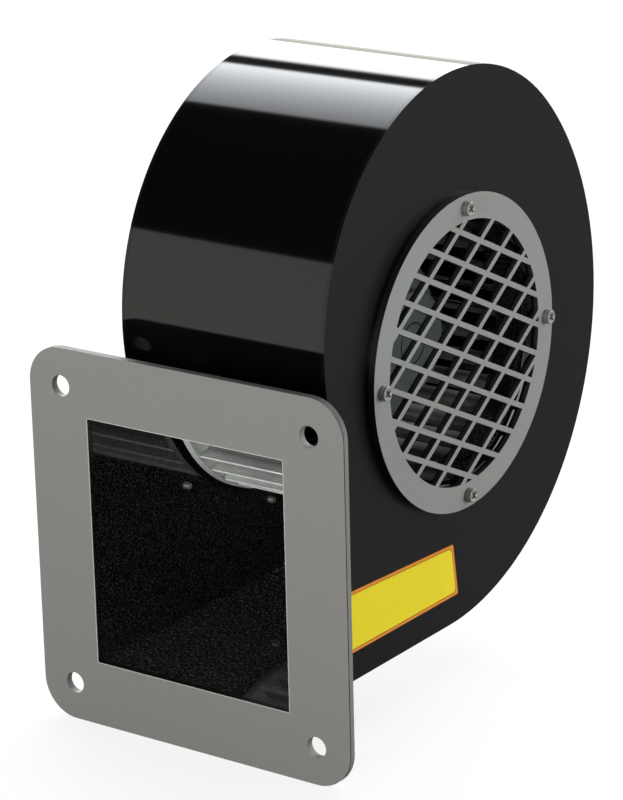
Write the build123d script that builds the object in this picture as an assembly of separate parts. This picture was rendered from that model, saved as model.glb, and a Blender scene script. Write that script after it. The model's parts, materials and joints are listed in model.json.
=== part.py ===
from build123d import *
import os
from math import atan2, acos, cos, degrees, hypot, radians, sin, sqrt

# Single-inlet centrifugal blower with an external-rotor motor inside its wheel.
# Frame: origin at the centre of the discharge flange's front face, +X along the motor
# axis towards the inlet, -Y the way the air leaves, +Z up. Lengths are in millimetres.

# Wheel
WHEEL_RADIUS = 90.0
WHEEL_WIDTH = 100.0
WHEEL_TO_SIDE = 3.85
WHEEL_SHEET = 1.0
WHEEL_LIP = 4.0
WHEEL_LIP_SHEET = 0.8
BLADE_COUNT = 40
BLADE_SHEET = 0.8
BLADE_DEPTH = 17.0
BLADE_CURVE = 18.0
FRONT_RING_EXCESS = 1.0
WHEEL_RIVET_COUNT = 6
WHEEL_RIVET_RADIUS = 2.0
RIVET_HEAD_RADIUS = 3.6
RIVET_HEAD = 1.2

# Sheet metal of the housing
DUCT_HEIGHT = 129.0
SIDE_SHEET = 2.0
WRAP_SHEET = 1.5

# Scroll: a straight floor, then three arcs that run into one another, then the tongue.
# The arcs stand off the wheel by these gaps, and the axis lies near their centres.
FLOOR_END_Y = 138.2
LOWER_GAP = 52.0
LOWER_SWEEP = 58.9
BACK_GAP = 61.6
BACK_SWEEP = 77.6
FRONT_GAP = 29.2
TONGUE_RADIUS = 8.0
AXIS_PAST_FLOOR = 10.1
AXIS_OVER_CENTRE = 2.7

# Discharge flange
FLANGE_WIDTH = 189.2
FLANGE_HEIGHT = 197.3
FLANGE_SHEET = 4.0
FLANGE_CORNER = 19.5
FLANGE_HOLE_INSET_X = 19.6
FLANGE_HOLE_INSET_Z = 19.65
FLANGE_HOLE = 11.0

# Inlet cone and guard
CONE_SHEET = 2.0
CONE_LIP_RADIUS = 5.0
CONE_DEPTH = 21.0
CONE_INTO_WHEEL = 2.35
CONE_TO_RING = 4.4
INLET_RIM = 16.4
GUARD_SHEET = 3.4
GUARD_SETBACK = 3.0
GUARD_BAR = 2.8
STEEP_BARS = dict(angle=34.2, pitch=18.4, shift=1.3)
FLAT_BARS = dict(angle=-25.8, pitch=14.3, shift=-1.3)
GUARD_SCREW_INSET = 6.6
GUARD_SCREW_COUNT = 4

# External rotor
ROTOR_RADIUS = 46.0
ROTOR_WALL = 2.0
ROTOR_LENGTH = 77.4
ROTOR_EDGE = 8.0
ROTOR_FLANGE = 10.0
ROTOR_CORE_WALL = 7.5
NOSE_RADIUS = 27.5
NOSE_LENGTH = 14.3
NOSE_END = 2.5
NOSE_EDGE = 1.5
HUB_RADIUS = 10.6
HUB_FLANGE_RADIUS = 18.0
HUB_FLANGE = 3.0
HUB_BOSS_RADIUS = 9.0
HUB_BOSS_LENGTH = 13.8
HUB_BORE_DEPTH = 15.0
HUB_COLLAR = 1.2

# Stator
AIR_GAP = 0.5
CORE_TO_FLANGE = 16.25
SLOT_COUNT = 18
SLOT_WIDTH = 4.2
SLOT_MOUTH = 2.0
SLOT_ROOT_RADIUS = 21.0
TOOTH_TIP = 1.8
WINDING_OVERHANG = 9.0
WINDING_TO_CAN = 7.0
CAGE_RING = 5.0
CAGE_RING_WALL = 6.0
STATOR_FLANGE_RADIUS = 34.0
STATOR_FLANGE = 5.0
BEARING_TUBE_RADIUS = 14.0
STATOR_BOLT_COUNT = 4

# Shaft and its two ball bearings
SHAFT_RADIUS = 4.0
BEARING_RADIUS = 11.0
BEARING_WIDTH = 7.0
BALL_RADIUS = 1.98
BALL_COUNT = 7
RACE_OPENING = 2.9
RACE_PLAY = 0.05
BEARING_LAND = 1.2
BEARING_SETBACK = 1.5
WASHER = 0.5
CIRCLIP = 0.8
CIRCLIP_GROOVE = 0.3
CIRCLIP_RADIUS = 6.5
SHAFT_TAIL = 1.2

# Motor plate on the outside of the motor side
WHEEL_PASSAGE = 2.0
MOTOR_SCREW_OFFSET = 9.8
MOTOR_PLATE_EDGE = 6.7
MOTOR_PLATE_SHEET = 2.5
MOTOR_PLATE_SCREW_COUNT = 8
SHAFT_OPENING_RADIUS = 12.5
CAP_OVERLAP = 3.5
CAP_RIM = 1.5
CAP_TO_BOLT = 8.0
LEAD_HOLE_RADIUS = 3.5
LEAD_HOLE_MARGIN = 1.0

# Terminal box on the motor plate, above the shaft
BOX_LENGTH = 64.0
BOX_HEIGHT = 54.0
BOX_WALL = 2.5
BOX_CORNER = 5.0
BOX_LIFT = 0.9
BOX_LID = 3.0
BOX_POST_RADIUS = 4.5
BOX_POST_INSET = 5.5
LID_SCREW_GRIP = 8.5
CAPACITOR_END_GAP = 1.0
CAPACITOR_TO_LID = 2.5
CAPACITOR_EDGE = 1.5
CLIP_SHEET = 1.0
CLIP_WIDTH = 10.0
TERMINAL_HEIGHT = 10.0
TERMINAL_DEPTH = 13.0
TERMINAL_GAP = 3.4
TERMINAL_WAYS = 3
WIRING_ROOM = 4.4

# Cable gland under the terminal box
GLAND_BORE = 8.0
GLAND_THREAD_RADIUS = 8.0
GLAND_HEX = 20.0
GLAND_COLLAR = 4.0
GLAND_LOCKNUT = 4.0
GLAND_THREAD_LENGTH = 8.0
GLAND_NUT_LENGTH = 16.0
GLAND_SEAL_LENGTH = 5.0

# Screws; the recess is a cross whose arms are shares of the head's radius
M3_RADIUS = 1.5
M3_HEAD_RADIUS = 2.8
M3_HEAD = 1.8
M4_RADIUS = 2.0
M4_HEAD_RADIUS = 3.6
M4_HEAD = 3.0
M4_RECESS = 1.2
M4_NUT = 7.0
M4_NUT_HEIGHT = 3.2
M5_RADIUS = 2.5
M5_HEAD_RADIUS = 4.4
M5_HEAD = 3.4
TIP_LENGTH = 3.0
HEAD_EDGE = 0.7
RECESS_SPAN_SHARE = 1.2
RECESS_ARM_SHARE = 0.3

# Clearances
HOLE_CLEARANCE = 0.25
PART_CLEARANCE = 0.3

# Radii that follow from the wheel, outwards to the scroll and inwards to the inlet
LOWER_RADIUS = WHEEL_RADIUS + LOWER_GAP
BACK_RADIUS = WHEEL_RADIUS + BACK_GAP
FRONT_RADIUS = WHEEL_RADIUS + FRONT_GAP
BLADE_INNER_RADIUS = WHEEL_RADIUS - BLADE_DEPTH
FRONT_RING_INNER_RADIUS = BLADE_INNER_RADIUS - FRONT_RING_EXCESS
THROAT_RADIUS = FRONT_RING_INNER_RADIUS - CONE_TO_RING - CONE_SHEET
INLET_RIM_RADIUS = THROAT_RADIUS + INLET_RIM
GUARD_OPENING_RADIUS = THROAT_RADIUS + GUARD_SETBACK
GUARD_SCREW_CIRCLE = INLET_RIM_RADIUS - GUARD_SCREW_INSET
MOTOR_OPENING_RADIUS = WHEEL_RADIUS + WHEEL_PASSAGE
MOTOR_PLATE_SCREW_CIRCLE = MOTOR_OPENING_RADIUS + MOTOR_SCREW_OFFSET
MOTOR_PLATE_RADIUS = MOTOR_PLATE_SCREW_CIRCLE + MOTOR_PLATE_EDGE

# Radii that follow from the rotor and the shaft
ROTOR_FLANGE_RADIUS = ROTOR_RADIUS + ROTOR_FLANGE
WHEEL_RIVET_CIRCLE = ROTOR_RADIUS + ROTOR_FLANGE / 2
CORE_RADIUS = ROTOR_RADIUS - ROTOR_WALL - ROTOR_CORE_WALL - AIR_GAP
RACE_WALL = (BEARING_RADIUS - SHAFT_RADIUS - RACE_OPENING) / 2
BALL_CIRCLE = (SHAFT_RADIUS + BEARING_RADIUS) / 2
BALL_TRACK = BALL_RADIUS + RACE_PLAY
CAP_RIM_RADIUS = SHAFT_OPENING_RADIUS + CAP_OVERLAP
STATOR_BOLT_CIRCLE = CAP_RIM_RADIUS + CAP_TO_BOLT

# The duct is as wide as the wheel and its two end gaps; the cone reaches into the wheel
DUCT_WIDTH = WHEEL_TO_SIDE + WHEEL_WIDTH + CONE_DEPTH - CONE_INTO_WHEEL - CONE_SHEET - SIDE_SHEET
DUCT_OUTER_Z = DUCT_HEIGHT / 2 + WRAP_SHEET
AXIS_Y = FLOOR_END_Y + AXIS_PAST_FLOOR
AXIS_Z = LOWER_RADIUS - DUCT_OUTER_Z + AXIS_OVER_CENTRE
FLANGE_HOLE_SPACING_X = FLANGE_WIDTH - 2 * FLANGE_HOLE_INSET_X
FLANGE_HOLE_SPACING_Z = FLANGE_HEIGHT - 2 * FLANGE_HOLE_INSET_Z

# Places along the motor axis
SIDE_INNER = DUCT_WIDTH / 2
SIDE_OUTER = SIDE_INNER + SIDE_SHEET
CONE_FACE = SIDE_OUTER + CONE_SHEET
GUARD_FACE = CONE_FACE + GUARD_SHEET
MOTOR_PLATE_FACE = -SIDE_OUTER - MOTOR_PLATE_SHEET
WHEEL_BACK = -SIDE_INNER + WHEEL_TO_SIDE
WHEEL_FRONT = WHEEL_BACK + WHEEL_WIDTH
ROTOR_OPEN_END = WHEEL_BACK - ROTOR_WALL
ROTOR_CLOSED_END = ROTOR_OPEN_END + ROTOR_LENGTH
NOSE_FACE = ROTOR_CLOSED_END + NOSE_LENGTH
HUB_BACK = NOSE_FACE - NOSE_END - HUB_FLANGE - HUB_BOSS_LENGTH
CORE_BACK = -SIDE_OUTER + STATOR_FLANGE + CORE_TO_FLANGE
CORE_FRONT = ROTOR_CLOSED_END - ROTOR_WALL - WINDING_TO_CAN - WINDING_OVERHANG
CORE_LENGTH = CORE_FRONT - CORE_BACK
REAR_BEARING = -SIDE_OUTER + BEARING_SETBACK
FRONT_BEARING = HUB_BACK - HUB_COLLAR - BEARING_WIDTH
SHAFT_FRONT = HUB_BACK + HUB_BORE_DEPTH
SHAFT_BACK = REAR_BEARING - CIRCLIP - SHAFT_TAIL

# Terminal box, between the stator bolts and the plate's top screw. Its capacitor takes the
# room that the box, the terminal block and the gland leave.
CAPACITOR_STACK = 2 * (BOX_WALL + CLIP_SHEET + PART_CLEARANCE)
CAPACITOR_RADIUS = (BOX_HEIGHT - CAPACITOR_STACK - TERMINAL_HEIGHT - GLAND_LOCKNUT - WIRING_ROOM) / 2
CAPACITOR_LENGTH = BOX_LENGTH - 2 * (BOX_POST_INSET + BOX_POST_RADIUS + CAPACITOR_END_GAP)
CAPACITOR_Z = BOX_HEIGHT / 2 - BOX_WALL - CAPACITOR_RADIUS - CLIP_SHEET - PART_CLEARANCE
BOX_SCREW_SPACING = BOX_LENGTH - 2 * (BOX_POST_INSET + BOX_POST_RADIUS)
TERMINAL_LENGTH = BOX_SCREW_SPACING - 2 * (M4_HEAD_RADIUS + TERMINAL_GAP)
BOX_DEPTH = BOX_WALL + CLIP_SHEET + 2 * CAPACITOR_RADIUS + CAPACITOR_TO_LID
BOX_ROOM_TOP = MOTOR_PLATE_SCREW_CIRCLE - M4_HEAD_RADIUS
BOX_ABOVE_AXIS = (STATOR_BOLT_CIRCLE + BOX_ROOM_TOP) / 2 + BOX_LIFT
BOX_Z = AXIS_Z + BOX_ABOVE_AXIS
BOX_FLOOR = MOTOR_PLATE_FACE - BOX_WALL
BOX_MOUTH = MOTOR_PLATE_FACE - BOX_DEPTH
GLAND_X = (BOX_FLOOR + BOX_MOUTH) / 2


def ring(x_start, x_end, outer, inner=0.0):
    """Disc or ring round the motor axis, between two places along it."""
    profile = Circle(outer)
    if inner:
        profile -= Circle(inner)
    return extrude(Plane.YZ.offset(x_start) * profile, x_end - x_start)


def spun(*edges):
    """Solid of revolution round X from a closed profile drawn as (along X, radius)."""
    return revolve(make_face(Wire(list(edges))), Axis.X)


def around(shape, count, start=0.0):
    """Copies of a shape spread evenly round X."""
    return [Rot(X=start + 360 * i / count) * shape for i in range(count)]


def less(shape, tools):
    """Shape with each tool cut out of it."""
    for tool in tools:
        shape = shape - tool
    return shape


def on_axis(shape):
    """Shape drawn round X, moved onto the motor axis."""
    return Pos(0, AXIS_Y, AXIS_Z) * shape


def pan_screw(radius, head_radius, head, length, recess=0.0):
    """Screw along -X with the underside of its head at x = 0 and the head on the +X side."""
    top = ring(0, head, head_radius)
    top = fillet(top.edges().group_by(Axis.X)[-1], HEAD_EDGE)
    if recess:
        arm = head_radius * RECESS_SPAN_SHARE
        slot = head_radius * RECESS_ARM_SHARE
        cross = Box(recess, arm, slot) + Box(recess, slot, arm)
        top -= Pos(head - recess / 2, 0, 0) * cross
    return top + ring(-length, 0, radius)


def hex_bar(x_start, x_end, flats, bore):
    """Hexagonal bar along X with a round bore."""
    section = RegularPolygon(flats / 2, 6, major_radius=False) - Circle(bore)
    return extrude(Plane.YZ.offset(x_start) * section, x_end - x_start)


def save(name, shape):
    """Writes one node, which may be a list of separate solids."""
    if isinstance(shape, list):
        shape = Compound([solid for item in shape for solid in item.solids()])
    export_step(shape, f"parts/{name}.step")


# Housing

def arc_end(start, heading, radius, sweep):
    """End and new heading of an arc that turns left from a point and heading in degrees."""
    a = radians(heading)
    b = radians(heading + sweep)
    end = (start[0] + radius * (sin(b) - sin(a)), start[1] - radius * (cos(b) - cos(a)))
    return end, heading + sweep


def tongue_angles():
    """Sweep of the front arc and of the tongue's bend, in degrees."""
    start, heading = arc_end((FLOOR_END_Y, -DUCT_OUTER_Z), 0, LOWER_RADIUS, LOWER_SWEEP)
    start, heading = arc_end(start, heading, BACK_RADIUS, BACK_SWEEP)
    centre_y = start[0] - FRONT_RADIUS * sin(radians(heading))
    centre_z = start[1] + FRONT_RADIUS * cos(radians(heading))
    rise = DUCT_OUTER_Z + TONGUE_RADIUS - centre_z
    run = -sqrt((FRONT_RADIUS + TONGUE_RADIUS) ** 2 - rise ** 2)
    towards_tongue = degrees(atan2(rise, run)) % 360
    return towards_tongue + 90 - heading, towards_tongue - 90


def scroll_face(inset):
    """Outline of the scroll and its neck in (Y, Z), moved inwards by the inset."""
    front_sweep, tongue_sweep = tongue_angles()
    floor = Line((FLANGE_SHEET, inset - DUCT_OUTER_Z), (FLOOR_END_Y, inset - DUCT_OUTER_Z))
    lower = JernArc(floor @ 1, floor % 1, LOWER_RADIUS - inset, LOWER_SWEEP)
    back = JernArc(lower @ 1, lower % 1, BACK_RADIUS - inset, BACK_SWEEP)
    front = JernArc(back @ 1, back % 1, FRONT_RADIUS - inset, front_sweep)
    tongue = JernArc(front @ 1, front % 1, TONGUE_RADIUS + inset, -tongue_sweep)
    roof = Line(tongue @ 1, (FLANGE_SHEET, DUCT_OUTER_Z - inset))
    mouth = Line(roof @ 1, floor @ 0)
    return make_face(Wire([floor, lower, back, front, tongue, roof, mouth]))


def side_plate(x_start):
    """Scroll-shaped cheek of the housing."""
    return extrude(Plane.YZ.offset(x_start) * scroll_face(0), SIDE_SHEET)


def scroll_wrap():
    """One strip of sheet: floor, scroll, tongue and roof of the neck."""
    strip = scroll_face(0) - scroll_face(WRAP_SHEET)
    return extrude(Plane.YZ.offset(-SIDE_INNER) * strip, DUCT_WIDTH)


def inlet_side_plate():
    opening = ring(SIDE_INNER, SIDE_OUTER, THROAT_RADIUS + CONE_LIP_RADIUS + PART_CLEARANCE)
    hole = ring(SIDE_INNER, SIDE_OUTER, M4_RADIUS + HOLE_CLEARANCE)
    holes = around(Pos(0, GUARD_SCREW_CIRCLE, 0) * hole, GUARD_SCREW_COUNT)
    return less(side_plate(SIDE_INNER), [on_axis(tool) for tool in [opening] + holes])


def motor_side_plate():
    opening = ring(-SIDE_OUTER, -SIDE_INNER, MOTOR_OPENING_RADIUS)
    hole = ring(-SIDE_OUTER, -SIDE_INNER, M4_RADIUS + HOLE_CLEARANCE)
    holes = around(Pos(0, MOTOR_PLATE_SCREW_CIRCLE, 0) * hole, MOTOR_PLATE_SCREW_COUNT)
    return less(side_plate(-SIDE_OUTER), [on_axis(tool) for tool in [opening] + holes])


def discharge_flange():
    plate = RectangleRounded(FLANGE_WIDTH, FLANGE_HEIGHT, FLANGE_CORNER)
    plate -= Rectangle(DUCT_WIDTH, DUCT_HEIGHT)
    for place in GridLocations(FLANGE_HOLE_SPACING_X, FLANGE_HOLE_SPACING_Z, 2, 2):
        plate -= place * Circle(FLANGE_HOLE / 2)
    return extrude(Plane.XZ * plate, -FLANGE_SHEET)


# Inlet

def inlet_cone():
    """Spun inlet: a flat rim, a rolled lip and a throat that reaches into the wheel."""
    lip_x = CONE_FACE - CONE_LIP_RADIUS
    lip_r = THROAT_RADIUS + CONE_LIP_RADIUS
    back_radius = CONE_LIP_RADIUS - CONE_SHEET
    tail_x = CONE_FACE - CONE_DEPTH
    rim_front = Line((CONE_FACE, INLET_RIM_RADIUS), (CONE_FACE, lip_r))
    lip_front = CenterArc((lip_x, lip_r), CONE_LIP_RADIUS, 0, -90)
    throat = Line((lip_x, THROAT_RADIUS), (tail_x, THROAT_RADIUS))
    tail = Line(throat @ 1, (tail_x, THROAT_RADIUS + CONE_SHEET))
    throat_back = Line(tail @ 1, (lip_x, THROAT_RADIUS + CONE_SHEET))
    lip_back = CenterArc((lip_x, lip_r), back_radius, -90, 90)
    rim_back = Line((SIDE_OUTER, lip_r), (SIDE_OUTER, INLET_RIM_RADIUS))
    rim_edge = Line(rim_back @ 1, rim_front @ 0)
    cone = spun(rim_front, lip_front, throat, tail, throat_back, lip_back, rim_back, rim_edge)
    hole = ring(SIDE_OUTER, CONE_FACE, M4_RADIUS + HOLE_CLEARANCE)
    return less(cone, around(Pos(0, GUARD_SCREW_CIRCLE, 0) * hole, GUARD_SCREW_COUNT))


def lattice_bars(angle, pitch, shift):
    """One family of parallel bars, clipped by the caller."""
    bars = Sketch()
    count = int(GUARD_OPENING_RADIUS / pitch) + 1
    for i in range(-count, count + 1):
        offset = shift + i * pitch
        if abs(offset) < GUARD_OPENING_RADIUS:
            half_chord = sqrt(GUARD_OPENING_RADIUS ** 2 - offset ** 2)
            bars += Rot(Z=angle) * Pos(0, offset) * Rectangle(2 * half_chord + GUARD_BAR, GUARD_BAR)
    return bars


def inlet_guard():
    """One cut sheet: a rim ring and two families of bars that cross as diamonds."""
    bars = lattice_bars(**STEEP_BARS) + lattice_bars(**FLAT_BARS)
    middle = (GUARD_OPENING_RADIUS + INLET_RIM_RADIUS) / 2
    sheet = bars & Circle(middle)
    sheet += Circle(INLET_RIM_RADIUS) - Circle(GUARD_OPENING_RADIUS)
    hole = Circle(M4_RADIUS + HOLE_CLEARANCE)
    for place in PolarLocations(GUARD_SCREW_CIRCLE, GUARD_SCREW_COUNT):
        sheet -= place * hole
    return extrude(Plane.YZ.offset(CONE_FACE) * sheet, GUARD_SHEET)


def guard_screws():
    length = GUARD_FACE - SIDE_INNER + M4_NUT_HEIGHT + TIP_LENGTH / 2
    screw = pan_screw(M4_RADIUS, M4_HEAD_RADIUS, M4_HEAD, length, M4_RECESS)
    return around(Pos(GUARD_FACE, GUARD_SCREW_CIRCLE, 0) * screw, GUARD_SCREW_COUNT)


def guard_nuts():
    nut = hex_bar(SIDE_INNER - M4_NUT_HEIGHT, SIDE_INNER, M4_NUT, M4_RADIUS)
    return around(Pos(0, GUARD_SCREW_CIRCLE, 0) * nut, GUARD_SCREW_COUNT)


# Wheel

def wheel_blade():
    """Forward-curved blade: it leaves the inner circle radially and bends with the spin."""
    tip_radius = WHEEL_RADIUS - WHEEL_LIP_SHEET - PART_CLEARANCE
    centre_distance = hypot(BLADE_INNER_RADIUS, BLADE_CURVE)
    reach = (centre_distance ** 2 + BLADE_CURVE ** 2 - tip_radius ** 2)
    corner = degrees(acos(reach / (2 * centre_distance * BLADE_CURVE)))
    sweep = corner + degrees(atan2(BLADE_CURVE, BLADE_INNER_RADIUS)) - 90
    centre = (BLADE_INNER_RADIUS, -BLADE_CURVE)
    hollow = CenterArc(centre, BLADE_CURVE - BLADE_SHEET, 90, -sweep)
    crown = CenterArc(centre, BLADE_CURVE, 90, -sweep)
    section = make_face(Wire([hollow, Line(hollow @ 1, crown @ 1), crown, Line(crown @ 0, hollow @ 0)]))
    length = WHEEL_WIDTH - 2 * WHEEL_SHEET
    return extrude(Plane.YZ.offset(WHEEL_BACK + WHEEL_SHEET) * section, length)


def wheel_blades():
    return around(wheel_blade(), BLADE_COUNT)


def rivet_holes():
    hole = ring(ROTOR_OPEN_END, WHEEL_BACK + WHEEL_SHEET, WHEEL_RIVET_RADIUS)
    return around(Pos(0, WHEEL_RIVET_CIRCLE, 0) * hole, WHEEL_RIVET_COUNT)


def wheel_backplate():
    plate = ring(WHEEL_BACK, WHEEL_BACK + WHEEL_SHEET, WHEEL_RADIUS, ROTOR_RADIUS + PART_CLEARANCE)
    lip = ring(WHEEL_BACK, WHEEL_BACK + WHEEL_LIP, WHEEL_RADIUS, WHEEL_RADIUS - WHEEL_LIP_SHEET)
    return less(plate + lip, rivet_holes())


def wheel_front_ring():
    plate = ring(WHEEL_FRONT - WHEEL_SHEET, WHEEL_FRONT, WHEEL_RADIUS, FRONT_RING_INNER_RADIUS)
    lip = ring(WHEEL_FRONT - WHEEL_LIP, WHEEL_FRONT, WHEEL_RADIUS, WHEEL_RADIUS - WHEEL_LIP_SHEET)
    return plate + lip


def wheel_rivets():
    grip_start = ROTOR_OPEN_END
    grip_end = WHEEL_BACK + WHEEL_SHEET
    rivet = ring(grip_start - RIVET_HEAD, grip_start, RIVET_HEAD_RADIUS)
    rivet += ring(grip_start, grip_end, WHEEL_RIVET_RADIUS)
    rivet += ring(grip_end, grip_end + RIVET_HEAD, RIVET_HEAD_RADIUS)
    return around(Pos(0, WHEEL_RIVET_CIRCLE, 0) * rivet, WHEEL_RIVET_COUNT)


# Rotor

def rotor_can():
    """Drawn steel cup with a flange at its open end and a stepped nose."""
    body = ring(ROTOR_OPEN_END, ROTOR_CLOSED_END, ROTOR_RADIUS)
    body = fillet(body.edges().group_by(Axis.X)[-1], ROTOR_EDGE)
    nose = ring(ROTOR_CLOSED_END, NOSE_FACE, NOSE_RADIUS)
    nose = fillet(nose.edges().group_by(Axis.X)[-1], NOSE_EDGE)
    hollow = ring(ROTOR_OPEN_END, ROTOR_CLOSED_END - ROTOR_WALL, ROTOR_RADIUS - ROTOR_WALL)
    hollow = fillet(hollow.edges().group_by(Axis.X)[-1], ROTOR_EDGE - ROTOR_WALL)
    nose_hollow = ring(ROTOR_OPEN_END, NOSE_FACE - NOSE_END, NOSE_RADIUS - ROTOR_WALL)
    flange = ring(ROTOR_OPEN_END, WHEEL_BACK, ROTOR_FLANGE_RADIUS)
    can = body + nose + flange - hollow - nose_hollow
    return less(can, [ring(ROTOR_OPEN_END, NOSE_FACE, HUB_RADIUS)] + rivet_holes())


def rotor_hub():
    """Insert in the nose that carries the shaft; its closed end shows flush in the nose."""
    flange_face = NOSE_FACE - NOSE_END
    boss_end = flange_face - HUB_FLANGE
    hub = ring(flange_face, NOSE_FACE, HUB_RADIUS)
    hub = chamfer(hub.edges().group_by(Axis.X)[-1], PART_CLEARANCE)
    hub += ring(boss_end, flange_face, HUB_FLANGE_RADIUS)
    hub += ring(HUB_BACK, boss_end, HUB_BOSS_RADIUS)
    hub += ring(HUB_BACK - HUB_COLLAR, HUB_BACK, SHAFT_RADIUS + RACE_WALL)
    return hub - ring(HUB_BACK - HUB_COLLAR, SHAFT_FRONT, SHAFT_RADIUS)


def rotor_core():
    """Laminated ring inside the can, one air gap outside the stator."""
    return ring(CORE_BACK, CORE_FRONT, ROTOR_RADIUS - ROTOR_WALL, CORE_RADIUS + AIR_GAP)


def rotor_cage_rings():
    outer = ROTOR_RADIUS - ROTOR_WALL
    inner = outer - CAGE_RING_WALL
    rear = ring(CORE_BACK - CAGE_RING, CORE_BACK, outer, inner)
    front = ring(CORE_FRONT, CORE_FRONT + CAGE_RING, outer, inner)
    return [rear, front]


def motor_shaft():
    shaft = ring(SHAFT_BACK, SHAFT_FRONT, SHAFT_RADIUS)
    return shaft - ring(REAR_BEARING - CIRCLIP, REAR_BEARING, SHAFT_RADIUS, SHAFT_RADIUS - CIRCLIP_GROOVE)


def shaft_circlip():
    clip = ring(REAR_BEARING - CIRCLIP, REAR_BEARING, CIRCLIP_RADIUS, SHAFT_RADIUS - CIRCLIP_GROOVE)
    gap = Pos(REAR_BEARING - CIRCLIP / 2, CIRCLIP_RADIUS / 2, 0)
    return clip - gap * Box(2 * CIRCLIP, CIRCLIP_RADIUS, SHAFT_RADIUS)


# Bearings

def bearing_inner_race(start):
    race = ring(start, start + BEARING_WIDTH, SHAFT_RADIUS + RACE_WALL, SHAFT_RADIUS)
    track = Rot(Y=90) * Torus(BALL_CIRCLE, BALL_TRACK)
    return race - Pos(start + BEARING_WIDTH / 2, 0, 0) * track


def bearing_outer_race(start):
    race = ring(start, start + BEARING_WIDTH, BEARING_RADIUS, BEARING_RADIUS - RACE_WALL + HOLE_CLEARANCE)
    track = Rot(Y=90) * Torus(BALL_CIRCLE, BALL_TRACK)
    return race - Pos(start + BEARING_WIDTH / 2, 0, 0) * track


def bearing_balls(start):
    return around(Pos(start + BEARING_WIDTH / 2, BALL_CIRCLE, 0) * Sphere(BALL_RADIUS), BALL_COUNT)


def preload_washer():
    inner = BEARING_RADIUS - RACE_WALL
    start = REAR_BEARING + BEARING_WIDTH
    return ring(start, start + WASHER, BEARING_RADIUS, inner)


# Stator

def stator_flange():
    """Cast flange and bearing tube that carry the stator and both bearings."""
    tube_end = FRONT_BEARING + BEARING_WIDTH
    land_start = REAR_BEARING + BEARING_WIDTH + WASHER
    flange = ring(-SIDE_OUTER, -SIDE_OUTER + STATOR_FLANGE, STATOR_FLANGE_RADIUS)
    tube = ring(-SIDE_OUTER, tube_end, BEARING_TUBE_RADIUS)
    seat = ring(CORE_BACK - WINDING_OVERHANG, CORE_BACK, BEARING_TUBE_RADIUS + RACE_WALL)
    body = flange + tube + seat
    body -= ring(-SIDE_OUTER, land_start, BEARING_RADIUS)
    body -= ring(land_start, FRONT_BEARING, BEARING_RADIUS - BEARING_LAND)
    body -= ring(FRONT_BEARING, tube_end, BEARING_RADIUS)
    hole = ring(-SIDE_OUTER, -SIDE_OUTER + STATOR_FLANGE, M5_RADIUS)
    return less(body, around(Pos(0, STATOR_BOLT_CIRCLE, 0) * hole, STATOR_BOLT_COUNT, 45))


def slot_shape(x_start, length, slack):
    """Closed part of one stator slot, smaller by the slack on every side."""
    depth = CORE_RADIUS - TOOTH_TIP - SLOT_ROOT_RADIUS - 2 * slack
    middle = (CORE_RADIUS - TOOTH_TIP + SLOT_ROOT_RADIUS) / 2
    return Pos(x_start + length / 2, 0, middle) * Box(length, SLOT_WIDTH - 2 * slack, depth)


def stator_core():
    core = ring(CORE_BACK, CORE_FRONT, CORE_RADIUS, BEARING_TUBE_RADIUS)
    mouth_z = CORE_RADIUS - TOOTH_TIP
    mouth = Pos((CORE_BACK + CORE_FRONT) / 2, 0, mouth_z) * Box(CORE_LENGTH, SLOT_MOUTH, 2 * TOOTH_TIP + AIR_GAP)
    slot = slot_shape(CORE_BACK, CORE_LENGTH, 0) + mouth
    return less(core, around(slot, SLOT_COUNT))


def stator_winding():
    """Coil sides in the slots, joined by an overhang at each end of the core."""
    outer = CORE_RADIUS - TOOTH_TIP
    coil = None
    for start in (CORE_BACK - WINDING_OVERHANG, CORE_FRONT):
        overhang = ring(start, start + WINDING_OVERHANG, outer, SLOT_ROOT_RADIUS)
        overhang = fillet(overhang.edges(), SLOT_MOUTH)
        coil = overhang if coil is None else coil + overhang
    side = slot_shape(CORE_BACK - SLOT_MOUTH, CORE_LENGTH + 2 * SLOT_MOUTH, PART_CLEARANCE)
    for copy in around(side, SLOT_COUNT):
        coil += copy
    return coil


def stator_bolts():
    length = MOTOR_PLATE_SHEET + STATOR_FLANGE - HEAD_EDGE
    bolt = Rot(Z=180) * pan_screw(M5_RADIUS, M5_HEAD_RADIUS, M5_HEAD, length, M4_RECESS)
    return around(Pos(MOTOR_PLATE_FACE, STATOR_BOLT_CIRCLE, 0) * bolt, STATOR_BOLT_COUNT, 45)


# Motor plate

def motor_plate():
    plate = ring(MOTOR_PLATE_FACE, -SIDE_OUTER, MOTOR_PLATE_RADIUS, SHAFT_OPENING_RADIUS)
    rim_hole = ring(MOTOR_PLATE_FACE, -SIDE_OUTER, M4_RADIUS + HOLE_CLEARANCE)
    bolt_hole = ring(MOTOR_PLATE_FACE, -SIDE_OUTER, M5_RADIUS + HOLE_CLEARANCE)
    lead_hole = ring(MOTOR_PLATE_FACE, -SIDE_OUTER, LEAD_HOLE_RADIUS)
    box_hole = ring(MOTOR_PLATE_FACE, -SIDE_OUTER, M4_RADIUS)
    tools = around(Pos(0, MOTOR_PLATE_SCREW_CIRCLE, 0) * rim_hole, MOTOR_PLATE_SCREW_COUNT)
    tools += around(Pos(0, STATOR_BOLT_CIRCLE, 0) * bolt_hole, STATOR_BOLT_COUNT, 45)
    tools += [Pos(0, 0, lead_hole_height()) * lead_hole]
    tools += [Pos(0, y, BOX_ABOVE_AXIS + box_screw_drop()) * box_hole for y in box_screw_places()]
    return less(plate, tools)


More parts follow.
